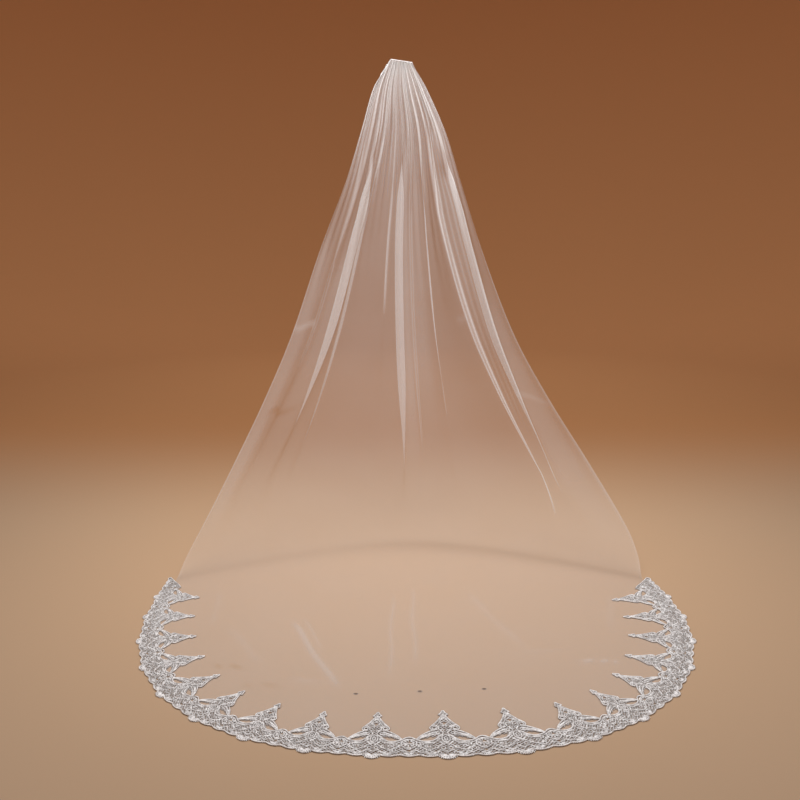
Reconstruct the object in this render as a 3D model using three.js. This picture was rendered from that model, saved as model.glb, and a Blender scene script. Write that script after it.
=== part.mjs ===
import * as THREE from "three"

// Lace bridal veil, millimetres, +Z up.
// The origin is the middle of the comb, the train runs toward -Y over the floor, +X is to the right of it.

// Rows of a table as objects, one field for each named column
function tableRows(columns, rows) {
  return rows.map((row) => Object.fromEntries(columns.map((column, i) => [column, row[i]])))
}

// Driving dimensions
const COMB_HEIGHT_ABOVE_FLOOR = 1526
const COMB_LENGTH = 66
const COMB_BAR_HEIGHT = 7
const COMB_THICKNESS = 1.8
const COMB_BELOW_HEADING = 10
const COMB_TOOTH_LENGTH = 34
const COMB_TOOTH_COUNT = 14
const COMB_TOOTH_FILL = 0.5
const HEADING_WIDTH = 87
const TULLE_WALL = 1
const LACE_WALL = 1.4
const CLEARANCE = 0.3

// The hem seen from above: a squared oval with nearly straight sides
const HEM_CENTRE_X = 42
const HEM_CENTRE_Y = -1270
const HEM_HALF_WIDTH = 734
const HEM_DEPTH = 745
const HEM_SQUARENESS = 2.4
const HEM_START_Y = -1100
const HEM_TAPER_FROM_Y = -1480
const HEM_TAPER_LEFT = 10
const HEM_TAPER_RIGHT = 40
const TULLE_INSET = 24
const HEM_CORNER_LENGTH = 450
const HEM_SIDE_STEPS = 60
const HEM_OVAL_STEPS = 600
const HEM_DIRECTION_STEPS = 4

// The line where the hanging cloth lands on the floor
const LANDING_MIDDLE_Y = -830
const LANDING_CURVE = 1.5
const LANDING_ROUNDING = 0.2

// The hanging cloth: how it sags, and how the heading droops at its two ends
const SAG_POWER = 1.22
const MIDDLE_HANG = 0.2
const HEADING_LEFT_DROOP = 19
const HEADING_LEFT_SHARE = 0.16
const HEADING_RIGHT_DROOP = 11
const HEADING_DROOP_GONE = 0.06

// How far the two side edges stand out past the straight line from comb to floor, at shares of the way down
const SIDE_BOWS = tableRows(
  ["down", "left", "right"],
  [
    [0, 0, 0],
    [0.055, 19, 16],
    [0.13, 14, 27],
    [0.23, 8, 12],
    [0.36, 9, -4],
    [0.52, -4, -11],
    [0.64, 1, 12],
    [0.76, 11, 43],
    [0.88, 17, 57],
    [0.95, 15, 37],
    [1, 0, 0],
  ],
)
const NORMAL_STEP = 0.002
const NORMAL_LOWEST_DOWN = 0.99

// Gathers under the comb
const GATHER_COUNT = 9
const GATHER_HEIGHT_AT_COMB = 2.4
const GATHER_HEIGHT_BELOW = 6
const GATHER_FULL_DOWN = 0.12
const GATHER_END_DOWN = 0.42

// Lace edging: one repeat of the pattern, as shares of its length and depths in from the outer edge
const LACE_REPEATS = 19
const LOOP_PLACE = 0.15
const LOOP_DEPTH = 92
const LOOP_RADIUS = 5
const LOOP_SIDES = 5
const END_EYE_PLACE = 0.3
const END_EYE_DEPTH = 27

// Long folds. cloth: place across the cloth, 0 left to 1 right. top, high and low: where that place hangs
// under the comb, high up and low down. reach: half width in the cloth. overlap: how far it doubles back,
// in reaches. depth: height in mm. start and end: shares of the way down. band: a wide one with three layers.
const FOLDS = tableRows(
  ["name", "cloth", "top", "high", "low", "reach", "overlap", "depth", "start", "end", "band"],
  [
    ["left faint", 0.075, 0.08, 0.09, 0.045, 0.018, 1.1, 3, 0.3, 0.9, false],
    ["left band", 0.165, 0.2, 0.207, 0.117, 0.04, 1.5, 10, 0.12, 0.88, true],
    ["left thin", 0.25, 0.3, 0.277, 0.168, 0.02, 1.3, 4, 0.16, 0.9, false],
    ["middle thin", 0.36, 0.42, 0.405, 0.388, 0.016, 1.1, 4, 0.16, 0.8, false],
    ["middle band", 0.47, 0.5, 0.489, 0.478, 0.043, 1.5, 10, 0.12, 1, true],
    ["middle soft", 0.575, 0.6, 0.583, 0.532, 0.024, 1.1, 5, 0.16, 0.98, false],
    ["right thin", 0.665, 0.7, 0.672, 0.613, 0.02, 1.1, 4, 0.16, 0.84, false],
    ["right double", 0.833, 0.835, 0.76, 0.85, 0.023, 1.3, 6, 0.1, 0.97, false],
    ["right band", 0.907, 0.912, 0.93, 0.882, 0.038, 1.8, 11, 0.12, 0.92, true],
  ],
)
const FOLD_TOP_DOWN = 0.05
const FOLD_HIGH_DOWN = 0.3
const FOLD_LOW_DOWN = 0.8
const FOLD_CORE = 1.2
const FOLD_HEIGHT_SPREAD = 5
const FOLD_CORE_LOW_SHARE = 0.3
const FOLD_GROW_DOWN = 0.16
const FOLD_FADE_DOWN = 0.4

// Colours and finishes
const TULLE_COLOUR = 0xf1ece6
const TULLE_ROUGHNESS = 0.85
const LACE_COLOUR = 0xe9e6e3
const LACE_ROUGHNESS = 0.8
const COMB_COLOUR = 0xe8e4dd
const COMB_ROUGHNESS = 0.35

// Grid of the tulle wall
const BAND_STATIONS = [-2.4, -1.4, -0.95, -0.6, 0.6, 0.95, 1.4, 2.4]
const THIN_STATIONS = [-1.1, 0, 1.1]
const PLAIN_STATIONS = [0, 0.03, 0.31, 0.71, 1]
const MIN_STATION_GAP = 0.006
const HANGING_ROWS = [0, 0.006, 0.018, 0.036, 0.06, 0.09, 0.125, 0.16, 0.18, 0.195, 0.21, 0.235, 0.28, 0.34,
  0.41, 0.48, 0.52, 0.545, 0.57, 0.62, 0.68, 0.74, 0.81, 0.87, 0.92, 0.96, 0.986, 1]
const FLOOR_ROWS = [0.06, 0.25, 0.5, 0.75, 1]

function mix(a, b, share) {
  return a + (b - a) * share
}

function plainFinish(color, roughness) {
  return new THREE.MeshStandardMaterial({ color, roughness, metalness: 0 })
}

function clamp01(value) {
  return Math.min(1, Math.max(0, value))
}

function smoothStep(from, to, value) {
  const share = clamp01((value - from) / (to - from))
  return share * share * (3 - 2 * share)
}

// A smooth curve through one column of a table whose rows run down
function curveThrough(rows, column, down) {
  const slope = (i) => {
    const before = rows[Math.max(i - 1, 0)]
    const after = rows[Math.min(i + 1, rows.length - 1)]
    return (after[column] - before[column]) / (after.down - before.down)
  }
  let i = 1
  while (i < rows.length - 1 && rows[i].down < down) i++
  const run = rows[i].down - rows[i - 1].down
  const share = (down - rows[i - 1].down) / run
  const rest = 1 - share
  const start = rest * rest * ((1 + 2 * share) * rows[i - 1][column] + share * run * slope(i - 1))
  const end = share * share * ((1 + 2 * rest) * rows[i][column] - rest * run * slope(i))
  return start + end
}

// The outer hem as a closely sampled line with running length, from the left start round to the right one
function makeHem() {
  const points = []
  const sideSteps = HEM_SIDE_STEPS
  const ovalSteps = HEM_OVAL_STEPS
  for (let i = 0; i < sideSteps; i++) {
    const y = mix(HEM_START_Y, HEM_CENTRE_Y, i / sideSteps)
    points.push(new THREE.Vector2(HEM_CENTRE_X - HEM_HALF_WIDTH, y))
  }
  for (let i = 0; i <= ovalSteps; i++) {
    const angle = (Math.PI * i) / ovalSteps
    const across = Math.sign(Math.cos(angle)) * Math.abs(Math.cos(angle)) ** (2 / HEM_SQUARENESS)
    const down = Math.abs(Math.sin(angle)) ** (2 / HEM_SQUARENESS)
    points.push(new THREE.Vector2(HEM_CENTRE_X - HEM_HALF_WIDTH * across, HEM_CENTRE_Y - HEM_DEPTH * down))
  }
  for (let i = sideSteps - 1; i >= 0; i--) {
    points.push(new THREE.Vector2(2 * HEM_CENTRE_X - points[i].x, points[i].y))
  }
  for (const point of points) {
    const taper = clamp01((point.y - HEM_TAPER_FROM_Y) / (HEM_START_Y - HEM_TAPER_FROM_Y)) ** 2
    point.x += taper * (point.x < HEM_CENTRE_X ? HEM_TAPER_LEFT : -HEM_TAPER_RIGHT)
  }
  const lengths = [0]
  for (let i = 1; i < points.length; i++) {
    lengths.push(lengths[i - 1] + points[i].distanceTo(points[i - 1]))
  }
  return { points, lengths, total: lengths[lengths.length - 1] }
}

const hem = makeHem()

// The floor place at a length along the hem and a depth in from it
function hemPoint(length, inward) {
  const wanted = Math.min(hem.total, Math.max(0, length))
  let i = 1
  while (i < hem.lengths.length - 1 && hem.lengths[i] < wanted) i++
  const before = hem.points[i - 1]
  const after = hem.points[i]
  const share = (wanted - hem.lengths[i - 1]) / (hem.lengths[i] - hem.lengths[i - 1])
  const ahead = hem.points[Math.min(i + HEM_DIRECTION_STEPS, hem.points.length - 1)]
  const behind = hem.points[Math.max(i - 1 - HEM_DIRECTION_STEPS, 0)]
  const along = ahead.clone().sub(behind).normalize()
  return new THREE.Vector2(
    mix(before.x, after.x, share) - along.y * inward,
    mix(before.y, after.y, share) + along.x * inward,
  )
}

const LANDING_LEFT = hemPoint(0, TULLE_INSET)
const LANDING_RIGHT = hemPoint(hem.total, TULLE_INSET)

// Where the cloth at a place across lands on the floor
function landingPoint(across) {
  const rounded = (value) => (value * value + LANDING_ROUNDING ** 2) ** (LANDING_CURVE / 2)
  const fromMiddle = (rounded(2 * across - 1) - rounded(0)) / (rounded(1) - rounded(0))
  return new THREE.Vector2(
    mix(LANDING_LEFT.x, LANDING_RIGHT.x, across),
    mix(LANDING_MIDDLE_Y, LANDING_LEFT.y, fromMiddle),
  )
}

// How far the heading droops below its highest place, least near its left end and gone a little way down
function headingDroop(across, down) {
  const left = HEADING_LEFT_DROOP * clamp01(1 - across / HEADING_LEFT_SHARE) ** 2
  const right = HEADING_RIGHT_DROOP * clamp01((across - HEADING_LEFT_SHARE) / (1 - HEADING_LEFT_SHARE))
  return (left + right) * (1 - smoothStep(0, HEADING_DROOP_GONE, down))
}

// The hanging cloth without its folds
function plainPoint(across, down) {
  const landing = landingPoint(across)
  const combX = (across - 0.5) * HEADING_WIDTH
  const bow = mix(-curveThrough(SIDE_BOWS, "left", down), curveThrough(SIDE_BOWS, "right", down), across)
  const drop = 1 - (1 - down) ** SAG_POWER
  const floor = TULLE_WALL / 2 - COMB_HEIGHT_ABOVE_FLOOR
  const hang = 1 + MIDDLE_HANG * (1 - (2 * across - 1) ** 2)
  const z = floor * drop - headingDroop(across, down)
  return new THREE.Vector3(mix(combX, landing.x, down) + bow, landing.y * down ** hang, z)
}

// The direction out of the plain cloth, toward its outer side
function plainNormal(across, down) {
  const step = NORMAL_STEP
  const low = Math.min(down, NORMAL_LOWEST_DOWN)
  const acrossTangent = plainPoint(across + step, low).sub(plainPoint(across - step, low))
  const downTangent = plainPoint(across, low + step).sub(plainPoint(across, Math.max(0, low - step)))
  return acrossTangent.cross(downTangent).negate().normalize()
}

function lowShare(down) {
  return clamp01((down - FOLD_HIGH_DOWN) / (FOLD_LOW_DOWN - FOLD_HIGH_DOWN))
}

// How much the cloth about a fold is drawn together at a height
function foldSpread(down) {
  return mix(mix(1, FOLD_CORE_LOW_SHARE, lowShare(down)), 1, smoothStep(FOLD_LOW_DOWN, 1, down))
}

// Where a fold's own core of the cloth hangs: its two rims as places across
function foldRims(fold, down) {
  const upper = mix(fold.top, fold.high, smoothStep(FOLD_TOP_DOWN, FOLD_HIGH_DOWN, down))
  const hung = mix(upper, fold.low, lowShare(down))
  const place = mix(hung, fold.cloth, smoothStep(FOLD_LOW_DOWN, 1, down))
  const half = FOLD_CORE * fold.reach * foldSpread(down)
  return [place - half, place + half]
}

// Where a place across the cloth hangs, before the folds double back
function hungPlace(cloth, down) {
  const knots = [[0, 0]]
  for (const fold of FOLDS) {
    const [left, right] = foldRims(fold, down)
    knots.push([fold.cloth - FOLD_CORE * fold.reach, left], [fold.cloth + FOLD_CORE * fold.reach, right])
  }
  knots.push([1, 1])
  let i = 1
  while (i < knots.length - 1 && knots[i][0] < cloth) i++
  const share = (cloth - knots[i - 1][0]) / (knots[i][0] - knots[i - 1][0])
  return mix(knots[i - 1][1], knots[i][1], share)
}

function foldStrength(fold, down) {
  const grown = smoothStep(fold.start, fold.start + FOLD_GROW_DOWN, down)
  return grown * (1 - smoothStep(fold.end - FOLD_FADE_DOWN, fold.end, down))
}

function gatherHeight(across, down) {
  const grown = mix(GATHER_HEIGHT_AT_COMB, GATHER_HEIGHT_BELOW, smoothStep(0, GATHER_FULL_DOWN, down))
  const faded = 1 - smoothStep(GATHER_FULL_DOWN, GATHER_END_DOWN, down)
  return grown * faded * Math.cos(2 * Math.PI * GATHER_COUNT * across)
}

// The hanging cloth with its folds and gathers, as the middle of the wall
function hangingPoint(cloth, down) {
  let across = hungPlace(cloth, down)
  let height = 0
  for (const fold of FOLDS) {
    const strength = foldStrength(fold, down)
    const along = (cloth - fold.cloth) / fold.reach
    const doubling = along * Math.exp(0.5 - (along * along) / 2)
    across -= strength * fold.overlap * fold.reach * foldSpread(down) * doubling
    height -= Math.sqrt(strength) * fold.depth * along * Math.exp(-(along * along) / FOLD_HEIGHT_SPREAD)
  }
  across = clamp01(across)
  height += gatherHeight(across, down)
  return plainPoint(across, down).addScaledVector(plainNormal(across, down), height)
}

// The part of the cloth that lies on the floor, a patch between the landing line and the hem
function floorPoint(cloth, share) {
  const corner = (place) => hemPoint(place, TULLE_INSET)
  const start = landingPoint(hungPlace(cloth, 1))
  const end = corner(mix(HEM_CORNER_LENGTH, hem.total - HEM_CORNER_LENGTH, cloth))
  const left = corner(HEM_CORNER_LENGTH * share)
  const right = corner(hem.total - HEM_CORNER_LENGTH * share)
  const leftChord = LANDING_LEFT.clone().lerp(corner(HEM_CORNER_LENGTH), share)
  const rightChord = LANDING_RIGHT.clone().lerp(corner(hem.total - HEM_CORNER_LENGTH), share)
  const place = start.lerp(end, share)
  place.addScaledVector(left.sub(leftChord), 1 - cloth)
  place.addScaledVector(right.sub(rightChord), cloth)
  return new THREE.Vector3(place.x, place.y, TULLE_WALL / 2 - COMB_HEIGHT_ABOVE_FLOOR)
}

function tulleColumns() {
  const stations = [...PLAIN_STATIONS]
  for (const fold of FOLDS) {
    for (const station of fold.band ? BAND_STATIONS : THIN_STATIONS) {
      stations.push(fold.cloth + station * fold.reach)
    }
  }
  stations.sort((a, b) => a - b)
  const apart = (place, i) => i === 0 || place - stations[i - 1] > MIN_STATION_GAP
  const inside = (place) => place >= 0 && place < 1 - MIN_STATION_GAP
  return stations.filter((place, i) => place === 1 || (inside(place) && apart(place, i)))
}

// Direction along a line of points at one of them, the mean of the steps before and after it
function meanDirection(before, here, after) {
  const arriving = here.clone().sub(before).normalize()
  const leaving = after.clone().sub(here).normalize()
  return arriving.add(leaving)
}

// A closed wall about a grid of middle points, offset half the wall to each side along the grid's own normals
function wallGeometry(rows, wall) {
  const rowCount = rows.length
  const columnCount = rows[0].length
  const foot = rowCount - 1
  const last = columnCount - 1
  const positions = []
  for (const side of [1, -1]) {
    for (let r = 0; r < rowCount; r++) {
      for (let c = 0; c < columnCount; c++) {
        const here = rows[r][c]
        const across = meanDirection(rows[r][Math.max(c - 1, 0)], here, rows[r][Math.min(c + 1, last)])
        const down = meanDirection(rows[Math.max(r - 1, 0)][c], here, rows[Math.min(r + 1, foot)][c])
        const normal = down.cross(across).normalize()
        const point = here.clone().addScaledVector(normal, (side * wall) / 2)
        positions.push(point.x, point.y, point.z)
      }
    }
  }
  const indices = []
  const outer = (r, c) => r * columnCount + c
  const inner = (r, c) => rowCount * columnCount + r * columnCount + c
  const quad = (a, b, c, d) => indices.push(a, b, c, a, c, d)
  for (let r = 0; r < foot; r++) {
    for (let c = 0; c < last; c++) {
      const falling = rows[r][c].distanceTo(rows[r + 1][c + 1])
      const rising = rows[r + 1][c].distanceTo(rows[r][c + 1])
      if (falling <= rising) {
        quad(outer(r, c), outer(r + 1, c), outer(r + 1, c + 1), outer(r, c + 1))
        quad(inner(r, c), inner(r, c + 1), inner(r + 1, c + 1), inner(r + 1, c))
      } else {
        quad(outer(r, c + 1), outer(r, c), outer(r + 1, c), outer(r + 1, c + 1))
        quad(inner(r, c + 1), inner(r + 1, c + 1), inner(r + 1, c), inner(r, c))
      }
    }
  }
  for (let c = 0; c < last; c++) {
    quad(outer(0, c), outer(0, c + 1), inner(0, c + 1), inner(0, c))
    quad(outer(foot, c + 1), outer(foot, c), inner(foot, c), inner(foot, c + 1))
  }
  for (let r = 0; r < foot; r++) {
    quad(outer(r + 1, 0), outer(r, 0), inner(r, 0), inner(r + 1, 0))
    quad(outer(r, last), outer(r + 1, last), inner(r + 1, last), inner(r, last))
  }
  const geometry = new THREE.BufferGeometry()
  geometry.setAttribute("position", new THREE.Float32BufferAttribute(positions, 3))
  geometry.setIndex(indices)
  geometry.computeVertexNormals()
  return geometry
}

function makeTulle() {
  const columns = tulleColumns()
  const rows = HANGING_ROWS.map((down) => columns.map((cloth) => hangingPoint(cloth, down)))
  for (const share of FLOOR_ROWS) {
    rows.push(columns.map((cloth) => floorPoint(cloth, share)))
  }
  const material = plainFinish(TULLE_COLOUR, TULLE_ROUGHNESS)
  const mesh = new THREE.Mesh(wallGeometry(rows, TULLE_WALL), material)
  mesh.name = "tulle_veil"
  return mesh
}

// Half of one repeat's inner edge, from the tip of the motif down to the middle of the low mound beside it.
// place: share of the repeat's length. depth: mm in from the outer edge.
const EDGE_COLUMNS = ["name", "place", "depth"]
const INNER_EDGE = tableRows(EDGE_COLUMNS, [
  ["crown tip", 0, 164],
  ["crown side", 0.07, 148],
  ["neck", 0.032, 142],
  ["trellis foot", 0.115, 117],
  ["loop top", 0.19, 104],
  ["loop side", 0.21, 94],
  ["leaf top", 0.2, 86],
  ["leaf tip", 0.345, 68],
  ["valley", 0.4, 54],
  ["mound", 0.5, 64],
])

// The strip's two ends are trimmed on the slant, so its inner edge starts near the outer one
const SLANTED_END = tableRows(EDGE_COLUMNS, [
  ["trimmed corner", 0, 9],
  ["slant foot", 0.36, 60],
  ["valley", 0.42, 53],
  ["mound", 0.5, 64],
])

// Half of one repeat's outer edge, from the shell on the motif's axis to the scallop beside it
const OUTER_EDGE = tableRows(EDGE_COLUMNS, [
  ["shell tip", 0, -10],
  ["shell side", 0.09, -6],
  ["shell foot", 0.14, 4],
  ["scallop", 0.26, -1],
  ["notch", 0.38, 4],
  ["scallop", 0.5, -1],
])

// Openings cut through each motif, beside the round loops
const LEAF_SLOT = tableRows(EDGE_COLUMNS, [
  ["inner end", 0.13, 66],
  ["upper side", 0.22, 66],
  ["outer end", 0.335, 55],
  ["lower side", 0.22, 56],
])
const TRELLIS_DIAMOND = tableRows(EDGE_COLUMNS, [
  ["top", 0, 127],
  ["right", 0.03, 120],
  ["foot", 0, 113],
  ["left", -0.03, 120],
])
const MOUND_EYE = tableRows(EDGE_COLUMNS, [
  ["top", 0, 51],
  ["right", 0.032, 45],
  ["foot", 0, 39],
  ["left", -0.032, 45],
])

// The lace was laid by hand: the repeats beside its middle are drawn out, and the points are not equally long
const STRETCH_REPEATS = 0.24
const STRETCH_FROM = 8.5
const STRETCH_TO = 12.5
const STRETCH_END_REPEATS = 2.5
const POINT_LENGTHS = tableRows(
  ["place", "share"],
  [
    [0, 0.72],
    [1, 0.76],
    [2, 0.88],
    [4, 0.94],
    [8, 0.96],
    [10, 1.09],
    [11, 1.06],
    [12, 0.97],
    [19, 1],
  ],
)

const repeatLength = hem.total / LACE_REPEATS

// The share of a point's full length at a place along the strip
function pointLength(place) {
  let i = 1
  while (i < POINT_LENGTHS.length - 1 && POINT_LENGTHS[i].place < place) i++
  const before = POINT_LENGTHS[i - 1]
  const after = POINT_LENGTHS[i]
  return mix(before.share, after.share, (place - before.place) / (after.place - before.place))
}

function lacePoint(place, depth) {
  const side = 2 * smoothStep(STRETCH_FROM, STRETCH_TO, place) - 1
  const near = smoothStep(0, STRETCH_END_REPEATS, place)
  const far = smoothStep(0, STRETCH_END_REPEATS, LACE_REPEATS - place)
  const stretched = place + STRETCH_REPEATS * side * near * far
  return hemPoint(stretched * repeatLength, depth * (depth > 0 ? pointLength(place) : 1))
}

// One edge of the strip, whole repeats with a mirrored half each
function stripEdge(half, startHalf) {
  const points = []
  for (let repeat = 0; repeat < LACE_REPEATS; repeat++) {
    const first = repeat === 0 ? startHalf : half
    const second = repeat === LACE_REPEATS - 1 ? startHalf : half
    for (const row of first) points.push(lacePoint(repeat + row.place, row.depth))
    for (const row of second.slice(1, -1).reverse()) points.push(lacePoint(repeat + 1 - row.place, row.depth))
  }
  points.push(lacePoint(LACE_REPEATS, startHalf[0].depth))
  return points
}

function holeFrom(rows, axis, mirror) {
  return new THREE.Path(rows.map((row) => lacePoint(axis + mirror * row.place, row.depth)))
}

function roundHole(place, depth) {
  const points = []
  for (let i = 0; i < LOOP_SIDES; i++) {
    const angle = (2 * Math.PI * i) / LOOP_SIDES
    const along = (LOOP_RADIUS * Math.cos(angle)) / repeatLength
    points.push(lacePoint(place + along, depth + LOOP_RADIUS * Math.sin(angle)))
  }
  return new THREE.Path(points)
}

function makeLaceEdging() {
  const outline = [...stripEdge(OUTER_EDGE, OUTER_EDGE), ...stripEdge(INNER_EDGE, SLANTED_END).reverse()]
  const shape = new THREE.Shape(outline)
  for (let axis = 1; axis < LACE_REPEATS; axis++) {
    shape.holes.push(holeFrom(TRELLIS_DIAMOND, axis, 1))
    for (const mirror of [-1, 1]) {
      shape.holes.push(holeFrom(LEAF_SLOT, axis, mirror))
      shape.holes.push(roundHole(axis + mirror * LOOP_PLACE, LOOP_DEPTH))
    }
  }
  for (let repeat = 0; repeat < LACE_REPEATS; repeat++) {
    shape.holes.push(holeFrom(MOUND_EYE, repeat + 0.5, 1))
  }
  shape.holes.push(roundHole(END_EYE_PLACE, END_EYE_DEPTH))
  shape.holes.push(roundHole(LACE_REPEATS - END_EYE_PLACE, END_EYE_DEPTH))
  const geometry = new THREE.ExtrudeGeometry(shape, { depth: LACE_WALL, bevelEnabled: false })
  const material = plainFinish(LACE_COLOUR, LACE_ROUGHNESS)
  const mesh = new THREE.Mesh(geometry, material)
  mesh.name = "lace_edging"
  mesh.position.z = TULLE_WALL + CLEARANCE - COMB_HEIGHT_ABOVE_FLOOR
  return mesh
}

// A plain comb behind the gathered heading, its teeth pointing down
function makeComb() {
  const pitch = COMB_LENGTH / COMB_TOOTH_COUNT
  const outline = [new THREE.Vector2(-COMB_LENGTH / 2, 0)]
  for (let tooth = 0; tooth < COMB_TOOTH_COUNT; tooth++) {
    const left = -COMB_LENGTH / 2 + tooth * pitch
    const right = left + pitch * COMB_TOOTH_FILL
    outline.push(new THREE.Vector2(left, -COMB_BAR_HEIGHT - COMB_TOOTH_LENGTH))
    outline.push(new THREE.Vector2(right, -COMB_BAR_HEIGHT - COMB_TOOTH_LENGTH))
    outline.push(new THREE.Vector2(right, -COMB_BAR_HEIGHT))
    if (tooth < COMB_TOOTH_COUNT - 1) outline.push(new THREE.Vector2(left + pitch, -COMB_BAR_HEIGHT))
  }
  outline.push(new THREE.Vector2(COMB_LENGTH / 2, -COMB_BAR_HEIGHT))
  outline.push(new THREE.Vector2(COMB_LENGTH / 2, 0))
  const shape = new THREE.Shape(outline)
  const geometry = new THREE.ExtrudeGeometry(shape, { depth: COMB_THICKNESS, bevelEnabled: false })
  const material = plainFinish(COMB_COLOUR, COMB_ROUGHNESS)
  const mesh = new THREE.Mesh(geometry, material)
  mesh.name = "comb"
  mesh.rotation.x = Math.PI / 2
  mesh.position.y = GATHER_HEIGHT_AT_COMB + TULLE_WALL / 2 + CLEARANCE + COMB_THICKNESS
  mesh.position.z = -COMB_BELOW_HEADING
  return mesh
}

const group = new THREE.Group()
group.add(makeTulle())
group.add(makeLaceEdging())
group.add(makeComb())

export default group
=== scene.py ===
import math

import bpy
import numpy as np
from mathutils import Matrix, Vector


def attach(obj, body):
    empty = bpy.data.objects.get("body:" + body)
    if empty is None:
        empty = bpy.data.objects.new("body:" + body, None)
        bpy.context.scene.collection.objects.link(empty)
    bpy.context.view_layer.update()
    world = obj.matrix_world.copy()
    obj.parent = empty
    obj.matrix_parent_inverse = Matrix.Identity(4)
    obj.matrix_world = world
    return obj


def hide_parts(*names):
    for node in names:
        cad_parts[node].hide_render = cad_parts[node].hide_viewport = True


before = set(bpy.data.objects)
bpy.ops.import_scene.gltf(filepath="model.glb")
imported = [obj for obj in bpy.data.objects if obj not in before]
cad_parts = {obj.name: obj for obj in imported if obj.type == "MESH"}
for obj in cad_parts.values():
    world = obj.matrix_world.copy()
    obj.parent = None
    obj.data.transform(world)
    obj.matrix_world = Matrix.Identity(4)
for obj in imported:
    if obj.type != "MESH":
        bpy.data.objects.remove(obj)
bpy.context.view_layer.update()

bl_info = {
    "name": "Lace Bridal Veil",
    "version": (1, 0, 0),
    "blender": (4, 5, 0),
    "location": "View3D > Sidebar > Veil",
    "description": "Sheer gathered tulle with a corded lace edging, a heading and a comb",
    "category": "Object",
}

MM = 0.001

# Sizes that the cloth shares with the solid model, in millimetres
COMB_HEIGHT = 1526
HEADING_WIDTH = 87
CLOTH_WIDTH = 1500
HEM_CENTRE = (42, -1270)
HEM_HALF_WIDTH = 734
HEM_DEPTH = 745
HEM_SQUARENESS = 2.4
HEM_START_Y = -1100
HEM_TAPER_FROM_Y = -1480
HEM_TAPER_LEFT = 10
HEM_TAPER_RIGHT = 40
TULLE_INSET = 24
HEM_CORNER_LENGTH = 450
HEM_SIDE_STEPS = 60
HEM_OVAL_STEPS = 600
HEM_DIRECTION_STEPS = 4
LANDING_MIDDLE_Y = -830
LANDING_CURVE = 1.5
LANDING_ROUNDING = 0.2
SAG_POWER = 1.22
MIDDLE_HANG = 0.2
HEADING_LEFT_DROOP = 19
HEADING_LEFT_SHARE = 0.16
HEADING_RIGHT_DROOP = 11
HEADING_DROOP_GONE = 0.06
CLOTH_LIFT = 0.5
LACE_FLOOR = 1.0
NORMAL_STEP = 0.002
NORMAL_LOWEST_DOWN = 0.99
LACE_REPEATS = 19
STRETCH_REPEATS = 0.24
STRETCH_FROM = 8.5
STRETCH_TO = 12.5
STRETCH_END_REPEATS = 2.5

# How far the side edges stand out past the straight line from comb to floor: down, left, right
SIDE_BOWS = [
    (0, 0, 0),
    (0.055, 19, 16),
    (0.13, 14, 27),
    (0.23, 8, 12),
    (0.36, 9, -4),
    (0.52, -4, -11),
    (0.64, 1, 12),
    (0.76, 11, 43),
    (0.88, 17, 57),
    (0.95, 15, 37),
    (1, 0, 0),
]

# Changes in the length of the lace's points along the strip: from repeat, to repeat, change of the share
POINT_SHARE_AT_START = 0.73
POINT_STEPS = [
    (0.5, 4.5, 0.22),
    (7.6, 10.0, 0.15),
    (10.4, 12.4, -0.13),
    (12.6, 14.6, 0.03),
]

# Gathers under the comb: name, count across, height at the comb, height below, full at, gone at, phase
GATHERS = [
    ("broad", 9, 2.4, 6.0, 0.12, 0.42, 0.0),
    ("fine", 23, 1.5, 3.6, 0.14, 0.52, 1.3),
    ("crimped", 41, 1.3, 2.2, 0.07, 0.36, 0.4),
]
# How a gather wanders sideways and how its height varies across the cloth
GATHER_WANDER = 1.1
GATHER_WANDER_TURNS = 4.3
GATHER_WANDER_DOWN = 3
GATHER_UNEVENNESS = 0.35
GATHER_UNEVEN_TURNS = 7.1

# Long folds: name, cloth, top, high, low, reach, overlap, depth, start, end, crease, crease end
FOLDS = [
    ("left faint", 0.075, 0.08, 0.09, 0.045, 0.018, 1.1, 3, 0.3, 0.9, 0.3, 0.62),
    ("left band", 0.165, 0.2, 0.207, 0.117, 0.04, 1.5, 10, 0.12, 0.88, 1.15, 0.74),
    ("left thin", 0.25, 0.3, 0.277, 0.168, 0.02, 1.3, 4, 0.16, 0.9, 0.8, 0.76),
    ("middle thin", 0.36, 0.42, 0.405, 0.388, 0.016, 1.1, 4, 0.16, 0.8, 0.6, 0.52),
    ("middle band", 0.47, 0.5, 0.489, 0.478, 0.043, 1.5, 10, 0.12, 1, 0.42, 0.86),
    ("middle soft", 0.575, 0.6, 0.583, 0.532, 0.024, 1.1, 5, 0.16, 0.98, 0.3, 0.8),
    ("right thin", 0.665, 0.7, 0.672, 0.613, 0.02, 1.1, 4, 0.16, 0.84, 0.6, 0.72),
    ("right double", 0.833, 0.835, 0.76, 0.85, 0.023, 1.3, 6, 0.1, 0.97, 1.2, 0.9),
    ("right band", 0.907, 0.912, 0.93, 0.882, 0.038, 1.8, 11, 0.12, 0.92, 1.25, 0.84),
]
FOLD_TOP_DOWN = 0.05
FOLD_HIGH_DOWN = 0.3
FOLD_LOW_DOWN = 0.8
FOLD_CORE = 1.2
FOLD_HEIGHT_SPREAD = 5
FOLD_CORE_LOW_SHARE = 0.3
FOLD_GROW_DOWN = 0.16
FOLD_FADE_DOWN = 0.4

# Where a fold's crease begins to show, and how many layers its pressed middle and its rims add
CREASE_START = 0.02
CREASE_FULL = 0.14
CREASE_FADE = 0.08
CREASE_MIDDLE_LAYERS = 0.9
CREASE_RIM_LAYERS = 3.4
CREASE_RIM_WIDTH = 5.2
CREASE_HALF_WIDTHS = (0.1, 0.8)
# How steeply a fold doubles back in its middle, for each reach of overlap
DOUBLING_STEEPNESS = math.exp(0.5)
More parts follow.
